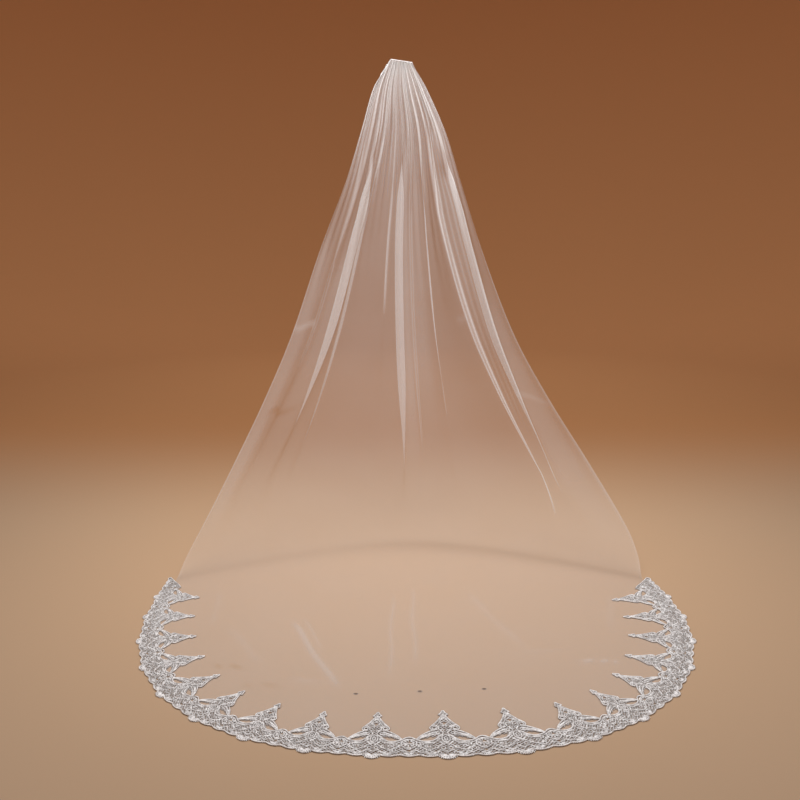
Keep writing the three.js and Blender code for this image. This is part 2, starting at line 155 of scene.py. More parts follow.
# Layers at the two side edges, and how they fade toward the floor
SELVEDGE_LAYERS = 2.2
SELVEDGE_WIDTH = 5
SELVEDGE_FADE = 0.75
SELVEDGE_FADE_START = 0.7
SELVEDGE_FADE_END = 0.97

# Soft strips of closer net in the fall: name, cloth, half width, start, end, layers added
STRIPS = [
    ("left edge", 0.02, 0.024, 0.28, 0.95, 0.75),
    ("left soft", 0.108, 0.012, 0.3, 0.8, 0.5),
    ("middle right", 0.535, 0.016, 0.08, 0.85, 0.7),
    ("middle far", 0.612, 0.018, 0.15, 0.8, 0.4),
    ("right inner", 0.868, 0.014, 0.15, 0.62, 0.6),
    ("right edge", 0.97, 0.02, 0.4, 0.95, 0.7),
]
STRIP_GROW_DOWN = 0.12
STRIP_FADE_DOWN = 0.25
# Short creases across the fall: name, down, from cloth, to cloth, layers added. Layers below 0 thin the net
# into a dark line of painted shade.
CROSS_CREASES = [
    ("left upper", 0.505, -0.01, 0.1, 1.0),
    ("left lower", 0.668, 0.02, 0.125, -0.5),
    ("right upper", 0.5, 0.77, 0.83, 0.4),
    ("right lower", 0.64, 0.87, 1.01, 0.6),
]
CROSS_CREASE_DOWN = 0.006
CROSS_CREASE_WOBBLE = 0.004
CROSS_CREASE_WAVES = 90
CROSS_CREASE_SLANT = 0.05
CROSS_CREASE_GROW = 0.02
CROSS_CREASE_FADE = 0.03

# Layers of net that the gathers bring together at the comb, and how soon they spread out
LAYERS_AT_COMB = 12
LAYERS_SPREAD_DOWN = 0.075
GATHER_CONTRAST = 1.7
LEAST_RUN_SHARE = 0.3

# Small dark marks on the train: name, x, y
MARKS = [
    ("left", -104, -1758),
    ("middle", 47, -1748),
    ("right", 200, -1735),
]
MARK_HALF_WIDTH = 6.5
MARK_HALF_LENGTH = 4.5
MARK_COVER = 0.5

# Soft creases of the train on the floor: name, from x, from y, to x, to y, half width, height, layers added.
# The layers added make a crease's line lighter: a painted highlight. A crease whose layers are below 0 is
# dark: painted shade, like the painted shade along the landing line.
CREASES = [
    ("long left", -300, -1360, -140, -1750, 9, 3.2, 1.1),
    ("beside it", -270, -1350, -190, -1560, 5, 1.6, 0.5),
    ("middle left", -20, -1200, -25, -1700, 7, 2.4, 0.5),
    ("middle", 35, -1150, 38, -1640, 8, 2.6, 0.5),
    ("right slant", 180, -1180, 330, -1560, 12, 2.2, 0.3),
    ("right low", 420, -1600, 560, -1610, 6, 2.4, 0.9),
    ("left low", -470, -1400, -330, -1640, 12, 2.0, 0.25),
    ("far left", -520, -1180, -500, -1420, 10, 1.8, 0.25),
    ("far right", 600, -1200, 560, -1450, 12, 1.8, 0.25),
    ("across low", -330, -1700, 120, -1702, 5, 1.8, 0.3),
    ("across right", 150, -1560, 470, -1540, 8, 1.8, 0.2),
    ("across left", -481, -1627, -341, -1640, 5, 1.0, -0.6),
    ("across lower left", -394, -1721, -239, -1724, 5, 1.0, -0.35),
]
TRAIN_CREASE_WOBBLE = 3
TRAIN_CREASE_WOBBLE_LENGTH = 47
TRAIN_CREASE_TAPER = 90
TRAIN_RIPPLE = 0.9
# Shares of the way over the floor where the train's relief has risen, begins to settle and is flat
TRAIN_RISEN = 0.12
TRAIN_SETTLES = 0.8
TRAIN_FLAT = 0.97

# The cloth's grid, its rounded landing and the painted shade along the landing line
HANGING_ROWS = 210
FLOOR_ROWS = 54
CLOTH_COLUMNS = 340
ROW_CROWDING = 1.15
SOFT_LANDING_PASSES = 10
SOFT_LANDING_ROWS = 14
PAINTED_SHADE_ROWS = 3.6
PAINTED_SHADE_AT_LEFT = 0.7
PAINTED_SHADE_COVER = 0.07

# Threads: size and bump height in metres, roughness, bump strength, and the heights in mm over the floor
# between which their painted shade turns to white. The heading's is white throughout.
THREADS = {
    "heading_thread": (0.0008, 0.0002, 0.5, 0.4, -100, -99),
    "lace_ground": (0.0008, 0.0002, 0.6, 0.4, 1.5, 2.9),
    "lace_cord": (0.0009, 0.0003, 0.42, 0.5, 1.6, 3.4),
    "lace_satin": (0.0007, 0.0003, 0.34, 0.4, 1.4, 2.5),
}
# Layers of the lace: name, thread, sides of a cord, step along it, flatness, lift, smooth
LACE_LAYERS = [
    ("lace_ground", "lace_ground", 4, 3.6, 0.9, 0.7, False),
    ("lace_cords", "lace_cord", 6, 2.8, 1.1, 1.5, True),
    ("lace_petals", "lace_satin", 6, 2.1, 0.6, 1.2, True),
]
GROUND_RADIUS = 1.0

# The heading's line and its stitches, in millimetres
HEADING_KNOTS = 41
STITCH_LENGTH = 1.3
STITCH_THICKNESS = 0.55
STITCH_DROP = 5.5
STITCH_OUT = 6

# The camera: lens and sensor in mm, place in metres, tilt down in degrees
CAMERA_LENS = 47.7
CAMERA_SENSOR = 36
CAMERA_PLACE = (0, -4.0, -0.226)
CAMERA_TILT = 14.6
TRANSPARENT_BOUNCES = 48
BACKDROP_CENTRE = (0.04, -1.0)


def mix(a, b, share):
    return a + (b - a) * share


def smooth_step(start, end, value):
    share = np.clip((value - start) / (end - start), 0, 1)
    return share * share * (3 - 2 * share)


class Socket:
    """A node's output that takes part in sums."""

    def __init__(self, graph, link):
        self.graph = graph
        self.link = link

    def other(self, name):
        return Socket(self.graph, self.link.node.outputs[name])

    def maths(self, operation, *values):
        return self.graph.add("ShaderNodeMath", {"operation": operation}, dict(enumerate(values)))

    def __add__(self, other):
        return self.maths("ADD", self, other)

    def __sub__(self, other):
        return self.maths("SUBTRACT", self, other)

    def __rsub__(self, other):
        return self.maths("SUBTRACT", other, self)

    def __mul__(self, other):
        return self.maths("MULTIPLY", self, other)

    def __truediv__(self, other):
        return self.maths("DIVIDE", self, other)

    def __pow__(self, other):
        return self.maths("POWER", self, other)

    __radd__ = __add__
    __rmul__ = __mul__

    def cosine(self):
        return self.maths("COSINE", self)

    def at_least(self, other):
        return self.maths("MAXIMUM", self, other)

    def at_most(self, other):
        return self.maths("MINIMUM", self, other)

    def stepped(self, start, end):
        """0 below start and 1 above end, with a soft change between."""
        inputs = {"Value": self, "From Min": start, "From Max": end}
        return self.graph.add("ShaderNodeMapRange", {"interpolation_type": "SMOOTHSTEP"}, inputs)


class Graph:
    """A node tree that is filled one node at a time."""

    def __init__(self, tree):
        self.tree = tree

    def add(self, kind, settings=None, inputs=None, output=0):
        node = self.tree.nodes.new(kind)
        for name, value in (settings or {}).items():
            setattr(node, name, value)
        for key, value in (inputs or {}).items():
            if isinstance(value, Socket):
                self.tree.links.new(value.link, node.inputs[key])
            elif isinstance(value, list):
                for each in value:
                    self.tree.links.new(each.link, node.inputs[key])
            else:
                node.inputs[key].default_value = value
        return Socket(self, node.outputs[output]) if node.outputs else None

    def parts(self, vector):
        """The x, y and z of a vector."""
        x = self.add("ShaderNodeSeparateXYZ", None, {0: vector})
        return x, x.other("Y"), x.other("Z")

    def vector(self, x, y, z):
        return self.add("ShaderNodeCombineXYZ", None, {0: x, 1: y, 2: z})

    def colour_mix(self, factor, a, b):
        inputs = {0: factor, 6: a, 7: b}
        return self.add("ShaderNodeMix", {"data_type": "RGBA"}, inputs, output=2)


def colour(red, green, blue):
    return (red, green, blue, 1)


def finish_material(name, build):
    """A material whose Principled BSDF takes its inputs from what build(graph) returns."""
    material = bpy.data.materials.new(name)
    material.use_nodes = True
    material.node_tree.nodes.clear()
    graph = Graph(material.node_tree)
    surface = graph.add("ShaderNodeBsdfPrincipled", None, build(graph))
    graph.add("ShaderNodeOutputMaterial", None, {"Surface": surface})
    return material


def grain(graph, vector, size, detail=2.0):
    """Noise whose grains are about that size in metres."""
    return graph.add("ShaderNodeTexNoise", None, {"Vector": vector, "Scale": 1 / size, "Detail": detail})


def object_place(graph):
    return graph.add("ShaderNodeTexCoord", output="Object")


def mark_mask(graph):
    """1 on the small dark marks of the train and 0 elsewhere."""
    x, y, _ = graph.parts(object_place(graph))
    mask = 0.0
    for name, mark_x, mark_y in MARKS:
        aside = (x - mark_x * MM) / (MARK_HALF_WIDTH * MM)
        along = (y - mark_y * MM) / (MARK_HALF_LENGTH * MM)
        mask = 1 - (aside * aside + along * along).stepped(0.2, 1.3) + mask
    return mask


def tulle_material(settings):
    """Net of six-sided cells that closes up where the cloth is gathered."""

    def build(graph):
        place = graph.add("ShaderNodeUVMap", {"uv_map": "cloth"})
        x, y, _ = graph.parts(place)
        turns = 2 * math.pi / (settings.net_cell * math.cos(math.radians(30)))
        rows = (x * turns).cosine()
        rising = ((x * 0.5 + y * math.sin(math.radians(60))) * turns).cosine()
        falling = ((x * 0.5 - y * math.sin(math.radians(60))) * turns).cosine()
        threads = 1 - ((rows + rising + falling) / 3).stepped(-0.35, 0.45)
        layers = graph.add("ShaderNodeAttribute", {"attribute_name": "gathering"}, output="Fac")
        press = graph.add("ShaderNodeAttribute", {"attribute_name": "pressing"}, output="Fac")
        lengthwise = graph.vector(x * 46, y * 1.1, 0.0)
        streaks = graph.add("ShaderNodeTexNoise", None, {"Vector": lengthwise, "Scale": 1.0, "Detail": 3.0})
        cloudy = grain(graph, graph.vector(x, y, 0.0), 0.16)
        one_layer = (0.62 + threads * 0.7) * settings.net_cover
        gathered = ((layers - 1) / 2.5).at_most(1.0)
        loose = (1 + (streaks - 0.5) * 2.6 * gathered) * (0.85 + cloudy * 0.3)
        thickness = (layers * loose.at_least(0.25) + press).at_least(0.3)
        # Painted shade: the band along the landing line and the train's dark creases darken the yarn and
        # thicken its cover
        hollow = graph.add("ShaderNodeAttribute", {"attribute_name": "hollow"}, output="Fac")
        marked = mark_mask(graph)
        cover = 1 - (1 - one_layer) ** thickness + hollow * PAINTED_SHADE_COVER + marked * MARK_COVER
        fibre = grain(graph, graph.vector(x, y, 0.0), 0.004)
        clean = graph.colour_mix(fibre, colour(*settings.shade), colour(*settings.white))
        shaded_tint = graph.colour_mix(hollow * 0.6, clean, colour(*settings.hollow))
        tint = graph.colour_mix(marked, shaded_tint, colour(*settings.mark))
        bump = graph.add("ShaderNodeBump", None, {"Strength": 0.25, "Distance": 0.0004, "Height": threads})
        return {
            "Base Color": tint,
            "Roughness": 0.72,
            "Alpha": cover.at_most(1.0),
            "Normal": bump,
            "Sheen Weight": 0.25,
            "Sheen Roughness": 0.45,
            "Specular IOR Level": 0.25,
        }

    return finish_material("tulle", build)


def thread_material(name, settings):
    """Wound thread: fine slanting strands, with painted shade on its low parts, and random wear that dulls
    it.
    """
    thread_size, height, roughness, depth, shade_fade_from, shade_fade_to = THREADS[name]

    def build(graph):
        place = object_place(graph)
        x, y, z = graph.parts(place)
        strands = ((x + y) * (2 * math.pi / thread_size)).cosine()
        crossing = ((x - y) * (2 * math.pi / (thread_size * 1.7))).cosine()
        worn = grain(graph, place, 0.007)
        fluff = grain(graph, place, 0.0016)
        # Painted shade: the lace's threads darken toward the floor, below the given heights; the heading's
        # stays white
        raised = (z + COMB_HEIGHT * MM).stepped(shade_fade_from * MM, shade_fade_to * MM)
        clean = raised * (0.55 + worn.stepped(0.35, 0.65) * 0.45)
        tint = graph.colour_mix(clean, colour(*settings.shade), colour(*settings.white))
        tall = strands * 0.3 + crossing * 0.2 + fluff
        bump = graph.add("ShaderNodeBump", None, {"Strength": depth, "Distance": height, "Height": tall})
        return {
            "Base Color": tint,
            "Roughness": roughness + fluff * 0.2,
            "Normal": bump,
            "Sheen Weight": 0.15,
            "Sheen Roughness": 0.4,
            "Specular IOR Level": 0.4,
        }

    return finish_material(name, build)


def hem_track():
    """The outer hem from above, its running length and its direction at each point."""
    centre_x, centre_y = HEM_CENTRE
    side_y = mix(HEM_START_Y, centre_y, np.arange(HEM_SIDE_STEPS) / HEM_SIDE_STEPS)
    side_x = np.full(HEM_SIDE_STEPS, centre_x - HEM_HALF_WIDTH, dtype=float)
    angle = np.linspace(0, math.pi, HEM_OVAL_STEPS + 1)
    power = 2 / HEM_SQUARENESS
    oval_x = centre_x - HEM_HALF_WIDTH * np.sign(np.cos(angle)) * np.abs(np.cos(angle)) ** power
    oval_y = centre_y - HEM_DEPTH * np.abs(np.sin(angle)) ** power
    x = np.concatenate([side_x, oval_x, 2 * centre_x - side_x[::-1]])
    y = np.concatenate([side_y, oval_y, side_y[::-1]])
    taper = np.clip((y - HEM_TAPER_FROM_Y) / (HEM_START_Y - HEM_TAPER_FROM_Y), 0, 1) ** 2
    x = x + taper * np.where(x < centre_x, HEM_TAPER_LEFT, -HEM_TAPER_RIGHT)
    points = np.stack([x, y], axis=1)
    steps = np.linalg.norm(np.diff(points, axis=0), axis=1)
    lengths = np.concatenate([[0], np.cumsum(steps)])
    reach = HEM_DIRECTION_STEPS
    padded = np.pad(points, ((reach, reach), (0, 0)), mode="edge")
    along = padded[2 * reach :] - padded[: -2 * reach]
    along /= np.linalg.norm(along, axis=1, keepdims=True)
    return points, lengths, along


HEM_POINTS, HEM_LENGTHS, HEM_ALONG = hem_track()
HEM_TOTAL = HEM_LENGTHS[-1]
REPEAT_LENGTH = HEM_TOTAL / LACE_REPEATS


def hem_point(length, inward):
    """The floor place at a length along the hem and a depth in from it."""
    x = np.interp(length, HEM_LENGTHS, HEM_POINTS[:, 0])
    y = np.interp(length, HEM_LENGTHS, HEM_POINTS[:, 1])
    along_x = np.interp(length, HEM_LENGTHS, HEM_ALONG[:, 0])
    along_y = np.interp(length, HEM_LENGTHS, HEM_ALONG[:, 1])
    return np.stack([x - along_y * inward, y + along_x * inward], axis=-1)


LANDING_LEFT = hem_point(0, TULLE_INSET)
LANDING_RIGHT = hem_point(HEM_TOTAL, TULLE_INSET)


def landing_point(across):
    """Where the cloth at a place across lands on the floor."""

    def rounded(value):
        return (value * value + LANDING_ROUNDING**2) ** (LANDING_CURVE / 2)

    from_middle = (rounded(2 * across - 1) - rounded(0)) / (rounded(1) - rounded(0))
    x = mix(LANDING_LEFT[0], LANDING_RIGHT[0], across)
    return x, mix(LANDING_MIDDLE_Y, LANDING_LEFT[1], from_middle)


def curve_through(rows, column, down):
    """A smooth curve through one column of a table whose rows run down."""
    places = np.array([row[0] for row in rows], dtype=float)
    values = np.array([row[column] for row in rows], dtype=float)
    before = np.maximum(np.arange(len(rows)) - 1, 0)
    after = np.minimum(np.arange(len(rows)) + 1, len(rows) - 1)
    slopes = (values[after] - values[before]) / (places[after] - places[before])
    i = np.clip(np.searchsorted(places, down), 1, len(rows) - 1)
    run = places[i] - places[i - 1]
    share = (down - places[i - 1]) / run
    rest = 1 - share
    start = rest**2 * ((1 + 2 * share) * values[i - 1] + share * run * slopes[i - 1])
    end = share**2 * ((1 + 2 * rest) * values[i] - rest * run * slopes[i])
    return start + end


def heading_droop(across, down):
    """How far the heading droops, least near its left end and gone a little way down."""
    left = HEADING_LEFT_DROOP * np.clip(1 - across / HEADING_LEFT_SHARE, 0, 1) ** 2
    right = HEADING_RIGHT_DROOP * np.clip((across - HEADING_LEFT_SHARE) / (1 - HEADING_LEFT_SHARE), 0, 1)
    return (left + right) * (1 - smooth_step(0, HEADING_DROOP_GONE, down))


def plain_point(across, down):
    """The hanging cloth without its folds."""
    landing_x, landing_y = landing_point(across)
    comb_x = (across - 0.5) * HEADING_WIDTH
    bow = mix(-curve_through(SIDE_BOWS, 1, down), curve_through(SIDE_BOWS, 2, down), across)
    drop = 1 - (1 - down) ** SAG_POWER
    hang = 1 + MIDDLE_HANG * (1 - (2 * across - 1) ** 2)
    floor = CLOTH_LIFT - COMB_HEIGHT
    x = mix(comb_x, landing_x, down) + bow
    z = floor * drop - heading_droop(across, down)
    return np.stack([x, landing_y * down**hang, z], axis=-1)


def plain_normal(across, down):
    """The direction out of the plain cloth, toward its outer side."""
    step = NORMAL_STEP
    low = np.minimum(down, NORMAL_LOWEST_DOWN)
    across_tangent = plain_point(across + step, low) - plain_point(across - step, low)
    down_tangent = plain_point(across, low + step) - plain_point(across, np.maximum(0, low - step))
    normal = -np.cross(across_tangent, down_tangent)
    return normal / np.linalg.norm(normal, axis=-1, keepdims=True)


def fold_spread(down):
    low_share = np.clip((down - FOLD_HIGH_DOWN) / (FOLD_LOW_DOWN - FOLD_HIGH_DOWN), 0, 1)
    return mix(mix(1, FOLD_CORE_LOW_SHARE, low_share), 1, smooth_step(FOLD_LOW_DOWN, 1, down))


def hung_place(cloth, down):
    """Where a place across the cloth hangs at one height, before the folds double back."""
    knots = [(0, 0)]
    low_share = np.clip((down - FOLD_HIGH_DOWN) / (FOLD_LOW_DOWN - FOLD_HIGH_DOWN), 0, 1)
    top_share = smooth_step(FOLD_TOP_DOWN, FOLD_HIGH_DOWN, down)
    for name, middle, top, high, low, reach, *_ in FOLDS:
        hung = mix(mix(top, high, top_share), low, low_share)
        place = mix(hung, middle, smooth_step(FOLD_LOW_DOWN, 1, down))
        half = FOLD_CORE * reach
        knots.append((middle - half, place - half * fold_spread(down)))
        knots.append((middle + half, place + half * fold_spread(down)))
    knots.append((1, 1))
    flat, hung = zip(*knots)
    return np.interp(cloth, flat, hung)


def gather_height(across, down):
    """The gathers of a level row, each sort wandering a little so that no two are alike."""
    height = np.zeros_like(across)
    for name, count, at_comb, below, full, gone, phase in GATHERS:
        grown = mix(at_comb, below, smooth_step(0, full, down)) * (1 - smooth_step(full, gone, down))
        wandered = GATHER_WANDER_TURNS * math.pi * across + count + GATHER_WANDER_DOWN * down
        wander = GATHER_WANDER * np.sin(wandered)
        uneven = 1 + GATHER_UNEVENNESS * np.sin(GATHER_UNEVEN_TURNS * math.pi * across + 2 * count)
        height = height + grown * uneven * np.cos(2 * math.pi * count * across + phase + wander)
    return height


def soft_strips(cloth, down):
    """Layers that the side edges, the soft strips and the short cross creases add to a level row."""
    from_edge = np.minimum(cloth, 1 - cloth) * CLOTH_WIDTH
    edge_share = 1 - SELVEDGE_FADE * smooth_step(SELVEDGE_FADE_START, SELVEDGE_FADE_END, down)
    press = SELVEDGE_LAYERS * edge_share * np.exp(-((from_edge / SELVEDGE_WIDTH) ** 2))
    for name, middle, half_width, start, end, layers in STRIPS:
        grown = smooth_step(start, start + STRIP_GROW_DOWN, down)
        shown = grown * (1 - smooth_step(end - STRIP_FADE_DOWN, end, down))
        press = press + layers * shown * np.exp(-(((cloth - middle) / half_width) ** 4))
    for name, at, start, end, layers in CROSS_CREASES:
        slant = CROSS_CREASE_SLANT * (cloth - (start + end) / 2)
        wobble = CROSS_CREASE_WOBBLE * np.sin(cloth * CROSS_CREASE_WAVES) + slant
        grown = smooth_step(start, start + CROSS_CREASE_GROW, cloth)
        inside = grown * (1 - smooth_step(end - CROSS_CREASE_FADE, end, cloth))
        press = press + layers * inside * np.exp(-(((down - at - wobble) / CROSS_CREASE_DOWN) ** 2))
    return press


def hanging_row(cloth, down):
    """One level row of the hanging cloth, and the layers of net and pressed folds there."""
    across = hung_place(cloth, down)
    height = np.zeros_like(cloth)
    press = soft_strips(cloth, down)
    for name, middle, top, high, low, reach, overlap, depth, start, end, crease, crease_end in FOLDS:
        fading = 1 - smooth_step(end - FOLD_FADE_DOWN, end, down)
        strength = smooth_step(start, start + FOLD_GROW_DOWN, down) * fading
        along = (cloth - middle) / reach
        doubling = along * np.exp(0.5 - along * along / 2)
        across = across - strength * overlap * reach * fold_spread(down) * doubling
        height = height - math.sqrt(strength) * depth * along * np.exp(-along * along / FOLD_HEIGHT_SPREAD)
        steepest = overlap * DOUBLING_STEEPNESS
        doubled = math.sqrt(np.clip((strength * steepest - 1) / (steepest - 1), 0, 1))
        half = mix(*CREASE_HALF_WIDTHS, doubled)
        rim_width = CREASE_RIM_WIDTH / (reach * CLOTH_WIDTH)
        body = CREASE_MIDDLE_LAYERS * doubled * np.exp(-((along / half) ** 8))
        rim = CREASE_RIM_LAYERS * np.exp(-(((np.abs(along) - half) / rim_width) ** 2))
        pressed = smooth_step(CREASE_START, CREASE_FULL, down)
        pressed = pressed * (1 - smooth_step(crease_end - CREASE_FADE, crease_end, down))
        press = press + crease * pressed * (body + rim)
    across = np.clip(across, 0, 1)
    gathers = gather_height(across, down)
    plain = plain_point(across, down)
    least_run = LEAST_RUN_SHARE * np.ptp(plain[:, 0]) / len(cloth)
    run = np.maximum(np.abs(np.gradient(plain[:, 0])), least_run)
    steepness = (1 + (np.gradient(gathers) / run) ** 2) ** (GATHER_CONTRAST / 2)
    layers = 1 + LAYERS_AT_COMB * math.exp(-down / LAYERS_SPREAD_DOWN) * steepness / steepness.mean()
    point = plain + plain_normal(across, down) * (height + gathers)[:, None]
    return point, layers, press


def floor_row(cloth, share):
    """One row of the cloth that lies on the floor, between the landing line and the hem."""
    start = np.stack(landing_point(hung_place(cloth, 1.0)), axis=-1)
    end = hem_point(mix(HEM_CORNER_LENGTH, HEM_TOTAL - HEM_CORNER_LENGTH, cloth), TULLE_INSET)
    left = hem_point(HEM_CORNER_LENGTH * share, TULLE_INSET)
    right = hem_point(HEM_TOTAL - HEM_CORNER_LENGTH * share, TULLE_INSET)
    left_chord = mix(LANDING_LEFT, hem_point(HEM_CORNER_LENGTH, TULLE_INSET), share)
    right_chord = mix(LANDING_RIGHT, hem_point(HEM_TOTAL - HEM_CORNER_LENGTH, TULLE_INSET), share)
    place = mix(start, end, share)
    place = place + (left - left_chord) * (1 - cloth)[:, None] + (right - right_chord) * cloth[:, None]
    return place


def train_relief(x, y, share):
    """How high the train stands off the floor, and the layers that its soft creases add."""
    ripple = np.sin(x / 61 + 1.7 * np.sin(y / 143)) * np.sin(y / 97 + x / 210)
    height = TRAIN_RIPPLE * (1 + ripple)
    press = np.zeros_like(x)
    for name, from_x, from_y, to_x, to_y, half_width, tall, layers in CREASES:
        run = np.array([to_x - from_x, to_y - from_y], dtype=float)
        length = np.linalg.norm(run)
        run /= length
        along = (x - from_x) * run[0] + (y - from_y) * run[1]
        wobble = TRAIN_CREASE_WOBBLE * np.sin(along / TRAIN_CREASE_WOBBLE_LENGTH)
        aside = (x - from_x) * run[1] - (y - from_y) * run[0] + wobble
        ends = min(TRAIN_CREASE_TAPER, length / 4)
        taper = smooth_step(0, ends, along) * (1 - smooth_step(length - ends, length, along))
        ridge = taper * np.exp(-((aside / half_width) ** 2))
        height = height + tall * ridge
        # The layers make the crease a lighter line of net, a painted highlight; layers below 0 feed the
        # painted shade
        press = press + layers * ridge
    clear = smooth_step(0, TRAIN_RISEN, share) * (1 - smooth_step(TRAIN_SETTLES, TRAIN_FLAT, share))
    return height * clear, press * clear


def tulle_grid():
    """Rows of points from the comb to the hem, and what the net's finish needs at each."""
    cloth = np.linspace(0, 1, CLOTH_COLUMNS)
    downs = [(step / (HANGING_ROWS - 1)) ** ROW_CROWDING for step in range(HANGING_ROWS)]
    rows = [hanging_row(cloth, down) for down in downs]
    for step in range(1, FLOOR_ROWS + 1):
        share = step / FLOOR_ROWS
        place = floor_row(cloth, share)
        height, press = train_relief(place[:, 0], place[:, 1], share)
        floor = np.full(len(cloth), CLOTH_LIFT - COMB_HEIGHT) + height
        rows.append((np.column_stack([place, floor]), np.ones_like(cloth), press))
    points, layers, presses = zip(*rows)
    grid = np.array(points)
    foot = HANGING_ROWS - 1
    # Painted shade: a dark band along the landing line, weaker at the left, and the train's creases whose
    # layers are below 0
    from_foot = np.abs(np.arange(len(grid)) - foot)[:, None] / PAINTED_SHADE_ROWS
    hollow = np.exp(-(from_foot**2)) * mix(PAINTED_SHADE_AT_LEFT, 1, smooth_step(0.3, 0.6, cloth))[None, :]
    hollow[foot + 1 :] += np.maximum(-np.array(presses)[foot + 1 :], 0)
    near = slice(foot - SOFT_LANDING_ROWS, foot + SOFT_LANDING_ROWS + 1)
    for _ in range(SOFT_LANDING_PASSES):
        smoothed = (grid[:-2] + 2 * grid[1:-1] + grid[2:]) / 4
        grid[near] = smoothed[near.start - 1 : near.stop - 1]
    grid[..., 2] = np.maximum(grid[..., 2], CLOTH_LIFT - COMB_HEIGHT)
    return grid * MM, {"gathering": layers, "pressing": presses, "hollow": hollow}, cloth


def new_piece(name, mesh, material=None):
    piece = bpy.data.objects.new(name, mesh)
    bpy.context.scene.collection.objects.link(piece)
    if material is not None:
        mesh.materials.append(material)
    return piece


def smooth_faces(mesh):
    mesh.polygons.foreach_set("use_smooth", [True] * len(mesh.polygons))


def grid_mesh(name, grid):
    """A single sheet through a grid of points, its faces turned to its outer side."""
    rows, columns, _ = grid.shape
    number = np.arange(rows * columns).reshape(rows, columns)
    corners = [number[:-1, :-1], number[1:, :-1], number[1:, 1:], number[:-1, 1:]]
    faces = np.stack(corners, axis=-1).reshape(-1, 4)
    mesh = bpy.data.meshes.new(name)
    mesh.from_pydata(grid.reshape(-1, 3).tolist(), [], faces.tolist())
    smooth_faces(mesh)
    return mesh


def store_points(mesh, name, values):
    layer = mesh.attributes.new(name, "FLOAT", "POINT")
    layer.data.foreach_set("value", np.asarray(values, dtype=np.float32).ravel())


def cloth_uv(mesh, grid, cloth):
    """UV in metres of flat cloth: x across it and y down its length."""
    steps = np.linalg.norm(np.diff(grid, axis=0), axis=2)
    down = np.concatenate([np.zeros((1, grid.shape[1])), np.cumsum(steps, axis=0)])
    across = np.broadcast_to(cloth * CLOTH_WIDTH * MM, down.shape)
    places = np.stack([across, down], axis=-1).reshape(-1, 2)
    corners = np.empty(len(mesh.loops), dtype=np.int32)
    mesh.loops.foreach_get("vertex_index", corners)
    layer = mesh.uv_layers.new(name="cloth")
    layer.data.foreach_set("uv", places[corners].astype(np.float32).ravel())


def geometry_tree(name, sizes):
    """A Geometry Nodes tree with named inputs. sizes: label, socket kind and default."""
    tree = bpy.data.node_groups.new(name, "GeometryNodeTree")
    tree.interface.new_socket("Geometry", in_out="INPUT", socket_type="NodeSocketGeometry")
    for label, kind, value in sizes:
        made = tree.interface.new_socket(label, in_out="INPUT", socket_type="NodeSocket" + kind)
        if value is not None:
            made.default_value = value
    tree.interface.new_socket("Geometry", in_out="OUTPUT", socket_type="NodeSocketGeometry")
    graph = Graph(tree)
    given = graph.add("NodeGroupInput")
    return graph, given


def close_tree(graph, given, geometry):
    """Ends a tree in real geometry with its material."""
    real = graph.add("GeometryNodeRealizeInstances", None, {"Geometry": geometry})
    smooth = graph.add("GeometryNodeSetShadeSmooth", None, {"Geometry": real})
    inputs = {"Geometry": smooth, "Material": given.other("Material")}
    dressed = graph.add("GeometryNodeSetMaterial", None, inputs)
    graph.add("NodeGroupOutput", None, {"Geometry": dressed})
    return graph.tree


def run_tree(piece, tree, values):
    """The plain mesh that a tree makes of a piece."""
    modifier = piece.modifiers.new("made", "NODES")
    modifier.node_group = tree
    for item in tree.interface.items_tree:
        if item.in_out == "INPUT" and item.name in values:
            modifier[item.identifier] = values[item.name]
    bpy.context.view_layer.update()
    graph = bpy.context.evaluated_depsgraph_get()
    mesh = bpy.data.meshes.new_from_object(piece.evaluated_get(graph), depsgraph=graph)
    bpy.data.objects.remove(piece)
    return mesh


def poly_curve(name, places):
    """A curve object that runs straight from place to place."""
    data = bpy.data.curves.new(name, "CURVE")
    data.dimensions = "3D"
    spline = data.splines.new("POLY")
    spline.points.add(len(places) - 1)
    for point, place in zip(spline.points, places):
        point.co = (*place, 1)
    piece = bpy.data.objects.new(name, data)
    bpy.context.scene.collection.objects.link(piece)
    return piece


